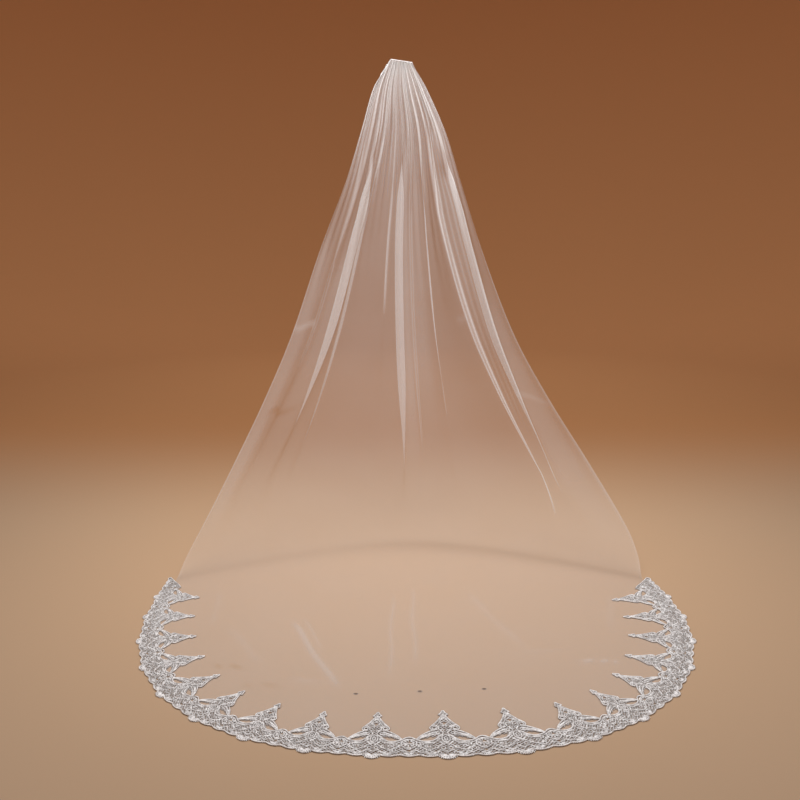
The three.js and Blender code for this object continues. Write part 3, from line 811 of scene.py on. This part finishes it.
def lace_tree():
    """Sweeps the motif's flat lines into cords, repeats them and lays them along the hem."""
    sizes = [
        ("Hem", "Object", None),
        ("Sides", "Int", 6),
        ("Step", "Float", 2 * MM),
        ("Flatness", "Float", 0.8),
        ("Lift", "Float", 1 * MM),
        ("Repeats", "Int", 18),
        ("Repeat Length", "Float", REPEAT_LENGTH * MM),
        ("Floor", "Float", -COMB_HEIGHT * MM),
        ("Material", "Material", None),
    ]
    graph, given = geometry_tree("lace_along_hem", sizes)
    evened = {"Curve": given, "Length": given.other("Step")}
    lines = graph.add("GeometryNodeResampleCurve", {"mode": "LENGTH"}, evened)
    circle = {"Resolution": given.other("Sides"), "Radius": 1.0}
    profile = graph.add("GeometryNodeCurvePrimitiveCircle", None, circle)
    thickness = graph.add("GeometryNodeInputRadius")
    swept = {"Curve": lines, "Profile Curve": profile, "Scale": thickness, "Fill Caps": True}
    cords = graph.add("GeometryNodeCurveToMesh", None, swept)
    length = given.other("Repeat Length")
    spacing = graph.vector(length, 0.0, 0.0)
    row = {"Count": given.other("Repeats"), "Start Location": spacing, "Offset": spacing}
    spots = graph.add("GeometryNodeMeshLine", None, row)
    repeated = graph.add("GeometryNodeInstanceOnPoints", None, {"Points": spots, "Instance": cords})
    flat = graph.add("GeometryNodeRealizeInstances", None, {"Geometry": repeated})
    x, y, z = graph.parts(graph.add("GeometryNodeInputPosition"))
    repeat = x / length
    side = repeat.stepped(STRETCH_FROM, STRETCH_TO) * 2 - 1
    near = repeat.stepped(0.0, STRETCH_END_REPEATS)
    far = (LACE_REPEATS - repeat).stepped(0.0, STRETCH_END_REPEATS)
    clear = near * far
    laid_length = (repeat + side * clear * STRETCH_REPEATS) * length
    share = POINT_SHARE_AT_START
    for start, end, change in POINT_STEPS:
        share = repeat.stepped(start, end) * change + share
    inward = y.at_least(0.0) * share + y.at_most(0.0)
    hem = graph.add("GeometryNodeObjectInfo", None, {"Object": given.other("Hem")}, output="Geometry")
    sampled = {"Curves": hem, "Length": laid_length}
    on_hem = graph.add("GeometryNodeSampleCurve", {"mode": "LENGTH"}, sampled, output="Position")
    hem_x, hem_y, _ = graph.parts(on_hem)
    along_x, along_y, _ = graph.parts(on_hem.other("Tangent"))
    height = (z * given.other("Flatness") + given.other("Lift")).at_least(0.0)
    place = graph.vector(hem_x - along_y * inward, hem_y + along_x * inward, height + given.other("Floor"))
    laid = graph.add("GeometryNodeSetPosition", None, {"Geometry": flat, "Position": place})
    return close_tree(graph, given, laid)


# The motif, drawn flat in millimetres: across from its axis, and in from the outer edge.
# Cords that are mirrored about the axis: name, radius, points
MIRRORED_CORDS = [
    ("trellis side", 1.5, [(4, 144), (10, 132), (18, 118), (27, 106)]),
    ("trellis inner", 1.1, [(2, 140), (7, 126), (13, 113), (19, 102)]),
    ("trellis zigzag", 1.0, [(0, 136), (5, 130), (0, 124), (9, 116), (2, 109), (13, 105), (6, 98)]),
    ("loop", 1.5, [(13, 93), (14, 102), (21, 107), (29, 103), (30, 95), (25, 90)]),
    ("scroll", 1.3, [(13, 93), (8, 88), (5, 78), (9, 70), (16, 68)]),
    ("wing top", 1.5, [(16, 92), (27, 88), (40, 79), (51, 68), (58, 57)]),
    ("wing under", 1.3, [(12, 76), (24, 74), (40, 67), (57, 56)]),
    ("valley", 1.6, [(9, 72), (16, 63), (26, 53), (38, 50), (50, 52), (60, 58), (66, 63), (72.2, 65)]),
    ("valley inner", 1.0, [(12, 60), (24, 46), (38, 43), (52, 46), (64, 54), (72.2, 57)]),
    ("wave", 1.3, [(0, 44), (10, 38), (20, 28), (32, 22), (44, 26), (54, 36), (64, 41), (72.2, 42)]),
    ("low wave", 1.1, [(0, 14), (10, 20), (22, 12), (34, 18), (46, 11), (58, 18), (72.2, 12)]),
    ("rim", 1.5, [(0, -9), (6, -8), (10, -4), (14, 3), (22, 0), (30, -1.5), (42, 0), (50, 3.5), (56, 3.5),
                  (64, 0), (72.2, -1)]),
]
# Cords on the axis: name, radius, points
AXIS_CORDS = [
    ("crown cap", 1.6, [(-10, 147), (-5, 154), (0, 162), (5, 154), (10, 147)]),
    ("crown foot", 1.3, [(-11, 148), (-4, 145), (0, 147), (4, 145), (11, 148)]),
    ("stem", 1.3, [(0, 146), (0, 138), (0, 131)]),
    ("neck", 1.2, [(-6, 138), (-2, 142), (2, 142), (6, 138)]),
]
# Ovals: name, across, depth, half width, half height, cord radius, mirrored
OVALS = [
    ("medallion", 0, 60, 8, 13, 1.4, False),
    ("medallion heart", 0, 60, 3, 6.5, 1.1, False),
    ("loop", 21.7, 98, 4.5, 4.5, 1.2, True),
    ("mound arch", 72.2, 42, 15, 16, 1.2, False),
]
# Small round holes with a cord about each: name, across, depth, radius, mirrored
EYELETS = [
    ("trellis", 6, 88, 2.8, True),
    ("trellis top", 0, 103, 2.6, False),
    ("scroll", 15, 80, 2.4, True),
    ("medallion side", 15, 57, 2.4, True),
    ("foot", 7, 27, 3.0, True),
    ("foot side", 19, 31, 2.8, True),
    ("shell gap", 15, 11, 2.4, True),
    ("band", 34, 34, 2.6, True),
    ("band low", 43, 20, 2.8, True),
    ("rim gap", 29, 9, 2.2, True),
    ("mound side", 61, 37, 2.8, True),
    ("mound low", 57, 23, 2.4, True),
    ("mound foot", 72.2, 26, 2.8, False),
]
# Petals round a middle: name, across, depth, inner radius, outer radius, count, half width, mirrored
FLOWERS = [
    ("side flower", 46, 34, 3.5, 9.5, 7, 2.1, True),
    ("mound flower", 72.2, 45, 6, 12, 9, 2.0, False),
    ("bud", 0, 152, 1, 4.5, 5, 1.6, False),
]
# Fans on the outer edge: name, across, depth of the middle, radius, count, half width, mirrored
SHELLS = [
    ("axis shell", 0, 6, 14.5, 7, 2.3, False),
    ("side shell", 30, 12, 10.5, 8, 1.5, True),
    ("mound shell", 72.2, 12, 10.5, 8, 1.5, False),
]
# Feathered leaves, mirrored: name, root across, root depth, tip across, tip depth, barbs, half width
LEAVES = [
    ("wing", 16, 86, 55, 61, 15, 5.5),
    ("upper barbs", 5, 136, 23, 106, 9, 5.0),
    ("low leaf", 22, 46, 44, 44, 8, 4.5),
    ("foot leaf", 3, 36, 14, 50, 5, 4.0),
]
LEAF_BARB_HALF_WIDTH = 1.15
LEAF_BARB_SHARE = 0.28
LEAF_BARB_BEND = 0.08
PETAL_BEND = 0.06
RING_KNOTS = 8
EYELET_CORD = 0.95
EYELET_CORD_OUT = 0.9
SHELL_INNER = 2.5
SHELL_TURNS = (-172, -8)
# The barbs along the outer edge
PICOT_PITCH = 3.6
PICOT_LENGTH = 3.4
PICOT_OUT = 2.4
PICOT_HALF_WIDTH = 1.1
# Outline of the ground on one side of the axis
OUTLINE_INNER = [
    (0, 164), (10, 148), (4.6, 142), (16.6, 117), (27.5, 104), (30.3, 94), (28.9, 86), (49.8, 68), (57.8, 54),
    (72.2, 64),
]
OUTLINE_OUTER = [(0, -10), (13, -6), (20, 4), (37.6, -1), (55, 4), (72.2, -1)]
# Larger holes in the ground: name, outline, mirrored
HOLES = [
    ("trellis diamond", [(0, 127), (4.3, 120), (0, 113), (-4.3, 120)], False),
    ("leaf slot", [(18, 67), (32, 66), (54, 56), (44, 52.5), (30, 54)], True),
    ("loop", [(26.2, 98), (23.1, 102.3), (18, 100.6), (18, 95.4), (23.1, 93.7)], True),
    ("mound eye", [(72.2, 51), (76.8, 45), (72.2, 39), (67.6, 45)], True),
]


def in_polygon(points, polygon):
    """Which points lie inside a closed outline."""
    inside = np.zeros(len(points), dtype=bool)
    x, y = points[:, 0], points[:, 1]
    for (ax, ay), (bx, by) in zip(polygon, polygon[1:] + polygon[:1]):
        if ay == by:
            continue
        crosses = (ay > y) != (by > y)
        inside ^= crosses & (x < (bx - ax) * (y - ay) / (by - ay) + ax)
    return inside


def motif_outline():
    """The ground's outline on both sides of the axis."""
    right = OUTLINE_INNER + OUTLINE_OUTER[::-1]
    left = [(-x, y) for x, y in (OUTLINE_OUTER[1:] + OUTLINE_INNER[::-1])[:-1]]
    return right + left


def round_turns(count, offset=0.0):
    """Directions all the way round, evenly spread."""
    return [2 * math.pi * (i + offset) / count for i in range(count)]


def fan_turns(start, end, count):
    """Directions evenly spread from one angle to another, both in degrees."""
    return [math.radians(mix(start, end, i / (count - 1))) for i in range(count)]


def ring_points(across, depth, half_width, half_height):
    """A few points round an oval."""
    turns = round_turns(RING_KNOTS)
    return [(across + half_width * math.cos(turn), depth + half_height * math.sin(turn)) for turn in turns]


def motif_holes():
    round_holes = [
        (name, ring_points(across, depth, radius, radius), mirrored)
        for name, across, depth, radius, mirrored in EYELETS
    ]
    holes = []
    for name, points, mirrored in HOLES + round_holes:
        holes += both_ways(points) if mirrored else [points]
    return holes


def both_ways(points):
    return [points, [(-x, y) for x, y in points]]


def cord_lines():
    """Every raised cord of one motif: points, radii and whether it closes."""
    lines = []
    for name, radius, points in MIRRORED_CORDS:
        for side in both_ways(points):
            lines.append((side, radius, False))
    for name, radius, points in AXIS_CORDS:
        lines.append((points, radius, False))
    rings = OVALS + [
        (name, across, depth, radius + EYELET_CORD_OUT, radius + EYELET_CORD_OUT, EYELET_CORD, mirrored)
        for name, across, depth, radius, mirrored in EYELETS
    ]
    for name, across, depth, half_width, half_height, cord, mirrored in rings:
        points = ring_points(across, depth, half_width, half_height)
        for side in both_ways(points) if mirrored else [points]:
            lines.append((side, cord, True))
    return lines


def petal_line(root, tip, half_width, bend=0.0):
    """A petal as a short line with a radius at each point."""
    root, tip = np.array(root, dtype=float), np.array(tip, dtype=float)
    run = tip - root
    aside = np.array([-run[1], run[0]]) * bend
    shares = [0, 0.22, 0.5, 0.8, 1]
    widths = [0.3, 0.8, 1, 0.8, 0.25]
    points = [tuple(root + run * share + aside * 4 * share * (1 - share)) for share in shares]
    return points, [half_width * width for width in widths], False


def ray_petals(middle, inner, outer, turns, half_width, bend=0.0):
    """Petals that point away from a middle, one in each direction."""
    reaches = [np.array([math.cos(turn), math.sin(turn)]) for turn in turns]
    middle = np.array(middle)
    return [petal_line(middle + reach * inner, middle + reach * outer, half_width, bend) for reach in reaches]


def petal_lines():
    """Every flower, shell, leaf and barb of one motif."""
    lines = []
    for name, across, depth, inner, outer, count, half_width, mirrored in FLOWERS:
        for side in (1, -1) if mirrored else (1,):
            turns = round_turns(count, 0.5)
            lines += ray_petals((side * across, depth), inner, outer, turns, half_width, PETAL_BEND)
    for name, across, depth, radius, count, half_width, mirrored in SHELLS:
        for side in (1, -1) if mirrored else (1,):
            turns = fan_turns(*SHELL_TURNS, count)
            lines += ray_petals((side * across, depth), SHELL_INNER, radius, turns, half_width)
    for name, root_x, root_y, tip_x, tip_y, barbs, half_width in LEAVES:
        for side in (1, -1):
            for i in range(barbs):
                share = i / barbs
                start = (side * mix(root_x, tip_x, share), mix(root_y, tip_y, share) - 1.5)
                swell = math.sin(math.pi * (0.15 + 0.8 * share))
                end_share = min(1, share + LEAF_BARB_SHARE)
                end_depth = mix(root_y, tip_y, end_share) + half_width * swell
                end = (side * mix(root_x, tip_x, end_share), end_depth)
                lines.append(petal_line(start, end, LEAF_BARB_HALF_WIDTH, LEAF_BARB_BEND * side))
    return lines + picot_lines()


def picot_lines():
    """Short barbs set close together all along the outer edge."""
    outline = [(-x, y) for x, y in OUTLINE_OUTER[:0:-1]] + OUTLINE_OUTER
    across = np.arange(-OUTLINE_OUTER[-1][0] + PICOT_PITCH / 2, OUTLINE_OUTER[-1][0], PICOT_PITCH)
    edge = np.interp(across, *zip(*outline))
    return [
        petal_line((x, y + PICOT_LENGTH), (x, y - PICOT_OUT), PICOT_HALF_WIDTH) for x, y in zip(across, edge)
    ]


def ground_lines(pitch, outline, holes):
    """A lattice of slanting threads, kept inside the outline and out of its holes."""
    lines = []
    low, high = np.min(outline, axis=0), np.max(outline, axis=0)
    step = pitch / 3
    for direction in (1, -1):
        reach = (high[0] - low[0]) + (high[1] - low[1])
        starts = np.arange(low[0] - reach, high[0] + reach, pitch * math.sqrt(2))
        for start in starts:
            depth = np.arange(low[1], high[1] + step, step)
            across = start + direction * (depth - low[1])
            points = np.column_stack([across, depth])
            keep = in_polygon(points, outline)
            for hole in holes:
                keep &= ~in_polygon(points, hole)
            run = []
            for point, kept in zip(points, keep):
                if kept:
                    run.append(tuple(point))
                    continue
                if len(run) > 1:
                    lines.append((run, GROUND_RADIUS, False))
                run = []
            if len(run) > 1:
                lines.append((run, GROUND_RADIUS, False))
    return lines


def line_curve(name, lines, smooth):
    """A curve object of many lines, flat on z = 0, with radii in metres."""
    data = bpy.data.curves.new(name, "CURVE")
    data.dimensions = "3D"
    data.resolution_u = 6
    for points, radius, closed in lines:
        radii = radius if isinstance(radius, list) else [radius] * len(points)
        spline = data.splines.new("BEZIER" if smooth else "POLY")
        knots = spline.bezier_points if smooth else spline.points
        knots.add(len(points) - 1)
        for knot, (x, y), thick in zip(knots, points, radii):
            knot.co = (x * MM, y * MM, 0) if smooth else (x * MM, y * MM, 0, 1)
            knot.radius = thick * MM
            if smooth:
                knot.handle_left_type = "AUTO"
                knot.handle_right_type = "AUTO"
        spline.use_cyclic_u = closed
    piece = bpy.data.objects.new(name, data)
    bpy.context.scene.collection.objects.link(piece)
    return piece


def join_meshes(name, meshes):
    """One mesh of several, each used up."""
    joined = [new_piece(name, mesh) for mesh in meshes]
    with bpy.context.temp_override(active_object=joined[0], selected_editable_objects=joined):
        bpy.ops.object.join()
    return joined[0]


def lay_lace(name, lines, end_lines, material, sides, step, flatness, lift, smooth):
    """Repeats a layer of the motif along the hem and adds the layer's two ends."""
    tree = lace_tree()
    hem = poly_curve("hem_track", np.column_stack([HEM_POINTS * MM, np.zeros(len(HEM_POINTS))]))
    values = {
        "Hem": hem,
        "Sides": sides,
        "Step": step * MM,
        "Flatness": flatness,
        "Lift": lift * MM,
        "Repeats": LACE_REPEATS - 1,
        "Repeat Length": REPEAT_LENGTH * MM,
        "Floor": (LACE_FLOOR - COMB_HEIGHT) * MM,
        "Material": material,
    }
    motifs = run_tree(line_curve(name, lines, smooth), tree, values)
    values["Repeats"] = 1
    ends = run_tree(line_curve(name + "_ends", at_both_ends(end_lines), smooth), tree, values)
    piece = join_meshes(name, [motifs, ends])
    bpy.data.objects.remove(hem)
    piece.name = name
    piece.data.name = name
    return piece


def at_both_ends(lines):
    """Lines drawn from the strip's first end, set at both of its ends."""
    placed = []
    for points, radius, closed in lines:
        first = [(x - REPEAT_LENGTH, y) for x, y in points]
        last = [(HEM_TOTAL - x - REPEAT_LENGTH, y) for x, y in points]
        placed += [(first, radius, closed), (last, radius, closed)]
    return placed


# The strip's first end: outline and hole of the ground, cords, ring, fans and flower
END_OUTLINE = [(2, 8), (56, 62), (72, 71), (72, 1), (52, 4), (36, 0), (20, 4), (6, 0)]
END_HOLES = [[(48, 27), (45, 32), (39, 30), (39, 24), (45, 22)]]
END_CORDS = [
    ("slant", 1.6, [(1, 8), (18, 24), (38, 43), (56, 61), (72, 70)]),
    ("slant inner", 1.0, [(12, 11), (26, 25), (44, 42), (60, 53), (72, 58)]),
    ("rim", 1.4, [(1, 8), (6, 1), (14, 1), (22, 4), (36, 0.5), (50, 4), (62, 0.5), (72, 0.5)]),
    ("low wave", 1.0, [(14, 10), (24, 16), (34, 12), (46, 18), (58, 14), (72, 16)]),
]
END_RING = (43, 27, 6.5, 6.5)
END_RING_CORD = 1.3
END_SHELLS = [(22, 11), (40, 10), (60, 11)]
END_FLOWER = (62, 40)


def end_cord_lines():
    """The raised cords of the strip's first end."""
    lines = [(points, radius, False) for name, radius, points in END_CORDS]
    return lines + [(ring_points(*END_RING), END_RING_CORD, True)]


def end_petal_lines():
    """The fans and the flower of the strip's first end."""
    lines = []
    for middle in END_SHELLS:
        lines += ray_petals(middle, 2, 10, fan_turns(-165, -15, 5), 2.0)
    return lines + ray_petals(END_FLOWER, 3, 9, round_turns(8), 2.4)


def colour_setting(name, description, default):
    return bpy.props.FloatVectorProperty(name=name, description=description, default=default, subtype="COLOR")


def length_setting(name, description, default):
    return bpy.props.FloatProperty(
        name=name, description=description, default=default, min=0.0005, unit="LENGTH"
    )


def power_setting(name, description, default):
    return bpy.props.FloatProperty(name=name, description=description, default=default, min=0, unit="POWER")


class VeilStageSettings(bpy.types.PropertyGroup):
    floor: colour_setting("Floor", "Colour of the plain floor", (0.59, 0.39, 0.24))
    # Painted shade: the floor's colour farther out from the object
    floor_edge_painted_shade: colour_setting("Floor edge", "Colour of the floor farther out", (0.39, 0.268, 0.175))
    wall: colour_setting("Wall", "Colour of the plain wall behind", (0.69, 0.34, 0.15))
    # Painted shade: the wall's colour near the floor
    wall_foot_painted_shade: colour_setting("Wall foot", "Colour of the wall near the floor", (0.45, 0.215, 0.092))
    key_power: power_setting("Key light", "Power of the large light overhead", 86.0)
    fill_power: power_setting("Fill light", "Power of the lights at the front", 30.0)


class VeilTulleSettings(bpy.types.PropertyGroup):
    net_cell: length_setting("Net cell", "Width of a cell of the net", 0.0022)
    net_cover: bpy.props.FloatProperty(
        name="Net cover", description="How much one layer hides", default=0.158, min=0, max=1,
        subtype="FACTOR",
    )
    white: colour_setting("White", "Colour of the yarn", (0.9, 0.885, 0.88))
    shade: colour_setting("Shade", "Colour of the yarn's duller places", (0.82, 0.8, 0.795))
    # Painted shade: the colour of the band along the landing line and of the train's dark creases
    hollow: colour_setting("Hollow", "Colour of the net where it leaves the floor", (0.3, 0.25, 0.21))
    mark: colour_setting("Mark", "Colour of the small marks", (0.1, 0.075, 0.06))


class VeilHeadingSettings(bpy.types.PropertyGroup):
    cord: length_setting("Cord", "Radius of the cord in the heading", 0.0022)
    stitches: bpy.props.IntProperty(
        name="Stitches", description="Stitches along the heading", default=21, min=2
    )
    white: colour_setting("White", "Colour of the thread", (0.95, 0.94, 0.935))
    shade: colour_setting("Shade", "Colour of the thread's duller places", (0.8, 0.78, 0.77))


class VeilLaceSettings(bpy.types.PropertyGroup):
    ground_pitch: length_setting("Ground pitch", "Distance between threads of the ground", 0.0058)
    white: colour_setting("White", "Colour of the cords", (0.99, 0.98, 0.975))
    # Shade is the painted shade on the low places of the lace's threads
    shade: colour_setting("Shade", "Colour of the cords' low places", (0.22, 0.185, 0.17))


class VeilCombSettings(bpy.types.PropertyGroup):
    colour: colour_setting("Colour", "Colour of the plastic", (0.8, 0.77, 0.71))


class VEIL_OT_stage(bpy.types.Operator):
    """Makes the camera, the plain floor and the soft lights"""

    bl_idname = "veil.stage"
    bl_label = "Stage"

    def execute(self, context):
        settings = context.scene.veil_stage
        make_camera(context.scene)
        make_backdrop(settings)
        make_lights(context.scene, settings)
        return {"FINISHED"}


def make_camera(scene):
    data = bpy.data.cameras.new("photo_camera")
    data.lens = CAMERA_LENS
    data.sensor_width = CAMERA_SENSOR
    camera = bpy.data.objects.new("photo_camera", data)
    camera.location = CAMERA_PLACE
    camera.rotation_euler = (math.radians(90 - CAMERA_TILT), 0, 0)
    scene.collection.objects.link(camera)
    scene.camera = camera
    scene.cycles.transparent_max_bounces = TRANSPARENT_BOUNCES
    scene.view_settings.view_transform = "Standard"


def make_backdrop(settings):
    """A round floor that sweeps up into a wall all about the object."""
    floor_radius = 3.3
    sweep = 2.2
    wall_top = 5.0
    profile = [(0.0, 0.0), (1.5, 0.0), (floor_radius, 0.0)]
    for step in range(1, 13):
        turn = math.radians(90 * step / 12)
        profile.append((floor_radius + sweep * math.sin(turn), sweep * (1 - math.cos(turn))))
    profile.append((floor_radius + sweep, wall_top))
    sides = 72
    rows = []
    for radius, height in profile:
        turn = np.linspace(0, 2 * math.pi, sides + 1)
        x = BACKDROP_CENTRE[0] + radius * np.cos(turn)
        y = BACKDROP_CENTRE[1] + radius * np.sin(turn)
        rows.append(np.column_stack([x, y, np.full(sides + 1, height - COMB_HEIGHT * MM)]))
    mesh = grid_mesh("backdrop", np.array(rows)[::-1])

    def build(graph):
        x, y, z = graph.parts(object_place(graph))
        behind = y.stepped(-0.75, 0.65).at_least(z.stepped(-1.4, -0.5))
        # Painted shade: the floor darkens farther out from the object
        out = (x * x + (y + 0.7) * (y + 0.7)) ** 0.5
        floor = graph.colour_mix(out.stepped(0.2, 2.0), colour(*settings.floor), colour(*settings.floor_edge_painted_shade))
        # Painted shade: the wall darkens toward its foot, near the floor
        high = y.stepped(0.3, 2.6).at_least(z.stepped(-1.5, -1.05))
        wall = graph.colour_mix(high, colour(*settings.wall_foot_painted_shade), colour(*settings.wall))
        soft = graph.colour_mix(behind, floor, wall)
        return {"Base Color": soft, "Roughness": 0.9, "Specular IOR Level": 0.1}

    piece = new_piece("backdrop", mesh, finish_material("paper", build))


def make_lights(scene, settings):
    lights = [
        ("overhead", settings.key_power, (0.0, -0.8, 1.6), (0.04, -1.0, -1.5), 2.6),
        ("front_left", settings.fill_power, (-2.6, -3.6, 0.6), (0, -0.8, -0.9), 1.6),
        ("front_right", settings.fill_power * 1.1, (2.8, -3.2, 0.7), (0, -0.8, -0.9), 1.6),
    ]
    for name, power, place, target, size in lights:
        data = bpy.data.lights.new(name, "AREA")
        data.energy = power
        data.size = size
        lamp = bpy.data.objects.new(name, data)
        lamp.location = place
        lamp.rotation_mode = "QUATERNION"
        lamp.rotation_quaternion = (Vector(target) - Vector(place)).to_track_quat("-Z", "Y")
        lamp.visible_camera = False
        scene.collection.objects.link(lamp)
    world = bpy.data.worlds.new("soft_light")
    world.use_nodes = True
    background = world.node_tree.nodes["Background"]
    background.inputs["Color"].default_value = (0.9, 0.93, 1.0, 1)
    background.inputs["Strength"].default_value = 0.14
    scene.world = world


class VEIL_OT_tulle(bpy.types.Operator):
    """Makes the sheer cloth with its folds, gathers and train"""

    bl_idname = "veil.tulle"
    bl_label = "Tulle"

    def execute(self, context):
        grid, finish, cloth = tulle_grid()
        mesh = grid_mesh("tulle", grid)
        for name, values in finish.items():
            store_points(mesh, name, values)
        cloth_uv(mesh, grid, cloth)
        piece = new_piece("tulle", mesh, tulle_material(context.scene.veil_tulle))
        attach(piece, "root")
        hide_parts("tulle_veil")
        return {"FINISHED"}


def heading_tree():
    """A round cord along a line, with a row of small stitches below it."""
    sizes = [
        ("Thickness", "Float", 2 * MM),
        ("Stitches", "Int", 20),
        ("Stitch Length", "Float", 2 * MM),
        ("Stitch Thickness", "Float", 0.5 * MM),
        ("Stitch Drop", "Float", 6 * MM),
        ("Stitch Out", "Float", 3 * MM),
        ("Material", "Material", None),
    ]
    graph, given = geometry_tree("heading_cord", sizes)
    circle = {"Resolution": 10, "Radius": given.other("Thickness")}
    profile = graph.add("GeometryNodeCurvePrimitiveCircle", None, circle)
    swept = {"Curve": given, "Profile Curve": profile, "Fill Caps": True}
    cord = graph.add("GeometryNodeCurveToMesh", None, swept)
    counted = {"Curve": given, "Count": given.other("Stitches")}
    spots = graph.add("GeometryNodeCurveToPoints", {"mode": "COUNT"}, counted)
    offset = graph.vector(0.0, 0 - given.other("Stitch Out"), 0 - given.other("Stitch Drop"))
    lowered = graph.add("GeometryNodeSetPosition", None, {"Geometry": spots, "Offset": offset})
    turned = graph.add("FunctionNodeAlignRotationToVector", {"axis": "X"}, {"Vector": spots.other("Tangent")})
    bead = graph.add("GeometryNodeMeshIcoSphere", None, {"Radius": 1.0, "Subdivisions": 2})
    thin = given.other("Stitch Thickness")
    size = graph.vector(given.other("Stitch Length"), thin, thin)
    placed = {"Points": lowered, "Instance": bead, "Rotation": turned, "Scale": size}
    stitches = graph.add("GeometryNodeInstanceOnPoints", None, placed)
    both = graph.add("GeometryNodeJoinGeometry", None, {"Geometry": [cord, stitches]})
    return close_tree(graph, given, both)


class VEIL_OT_heading(bpy.types.Operator):
    """Makes the cord and the stitches along the gathered heading"""

    bl_idname = "veil.heading"
    bl_label = "Heading"

    def execute(self, context):
        settings = context.scene.veil_heading
        line = plain_point(np.linspace(0, 1, HEADING_KNOTS), 0.0) * MM
        line[:, 2] -= settings.cord
        piece = poly_curve("heading", line)
        values = {
            "Thickness": settings.cord,
            "Stitches": settings.stitches,
            "Stitch Length": STITCH_LENGTH * MM,
            "Stitch Thickness": STITCH_THICKNESS * MM,
            "Stitch Drop": STITCH_DROP * MM,
            "Stitch Out": STITCH_OUT * MM,
            "Material": thread_material("heading_thread", settings),
        }
        mesh = run_tree(piece, heading_tree(), values)
        piece = new_piece("heading", mesh)
        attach(piece, "root")
        return {"FINISHED"}


class VEIL_OT_lace(bpy.types.Operator):
    """Makes the lace edging: its ground, its cords and its petals"""

    bl_idname = "veil.lace"
    bl_label = "Lace edging"

    def execute(self, context):
        settings = context.scene.veil_lace
        pitch = settings.ground_pitch / MM
        ground = ground_lines(pitch, motif_outline(), motif_holes())
        drawn = {
            "lace_ground": (ground, ground_lines(pitch, END_OUTLINE, END_HOLES)),
            "lace_cords": (cord_lines(), end_cord_lines()),
            "lace_petals": (petal_lines(), end_petal_lines()),
        }
        pieces = []
        for name, thread, *sizes in LACE_LAYERS:
            pieces.append(lay_lace(name, *drawn[name], thread_material(thread, settings), *sizes))
        for piece in pieces:
            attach(piece, "root")
        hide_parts("lace_edging")
        return {"FINISHED"}


class VEIL_OT_comb(bpy.types.Operator):
    """Gives the comb its plastic finish"""

    bl_idname = "veil.comb"
    bl_label = "Comb"

    def execute(self, context):
        base = context.scene.veil_comb.colour

        def build(graph):
            cloudy = grain(graph, object_place(graph), 0.012)
            tint = graph.colour_mix(cloudy, colour(*[c * 0.93 for c in base]), colour(*base))
            bump = graph.add("ShaderNodeBump", None, {"Strength": 0.1, "Distance": 0.0002, "Height": cloudy})
            return {"Base Color": tint, "Roughness": 0.22 + cloudy * 0.12, "Normal": bump}

        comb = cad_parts["comb"]
        plastic = finish_material("comb_plastic", build)
        for slot in comb.material_slots:
            slot.material = plastic
        return {"FINISHED"}


class VEIL_PT_panel(bpy.types.Panel):
    """Lists the steps that make the veil"""

    bl_idname = "VEIL_PT_panel"
    bl_label = "Lace Bridal Veil"
    bl_space_type = "VIEW_3D"
    bl_region_type = "UI"
    bl_category = "Veil"

    def draw(self, context):
        layout = self.layout
        for operator in OPERATORS:
            layout.operator(operator.bl_idname)
        for group in GROUPS:
            settings = getattr(context.scene, group)
            box = layout.box()
            for name in settings.__annotations__:
                box.prop(settings, name)


OPERATORS = (VEIL_OT_stage, VEIL_OT_tulle, VEIL_OT_heading, VEIL_OT_lace, VEIL_OT_comb)
GROUPS = {
    "veil_stage": VeilStageSettings,
    "veil_tulle": VeilTulleSettings,
    "veil_heading": VeilHeadingSettings,
    "veil_lace": VeilLaceSettings,
    "veil_comb": VeilCombSettings,
}


def register():
    for group in GROUPS.values():
        bpy.utils.register_class(group)
    for operator in OPERATORS:
        bpy.utils.register_class(operator)
    bpy.utils.register_class(VEIL_PT_panel)
    for name, group in GROUPS.items():
        setattr(bpy.types.Scene, name, bpy.props.PointerProperty(type=group))


def unregister():
    for name in GROUPS:
        delattr(bpy.types.Scene, name)
    bpy.utils.unregister_class(VEIL_PT_panel)
    for operator in reversed(OPERATORS):
        bpy.utils.unregister_class(operator)
    for group in reversed(list(GROUPS.values())):
        bpy.utils.unregister_class(group)


def main():
    register()
    bpy.ops.veil.stage()
    bpy.ops.veil.tulle()
    bpy.ops.veil.heading()
    bpy.ops.veil.lace()
    bpy.ops.veil.comb()


if __name__ == "__main__":
    main()
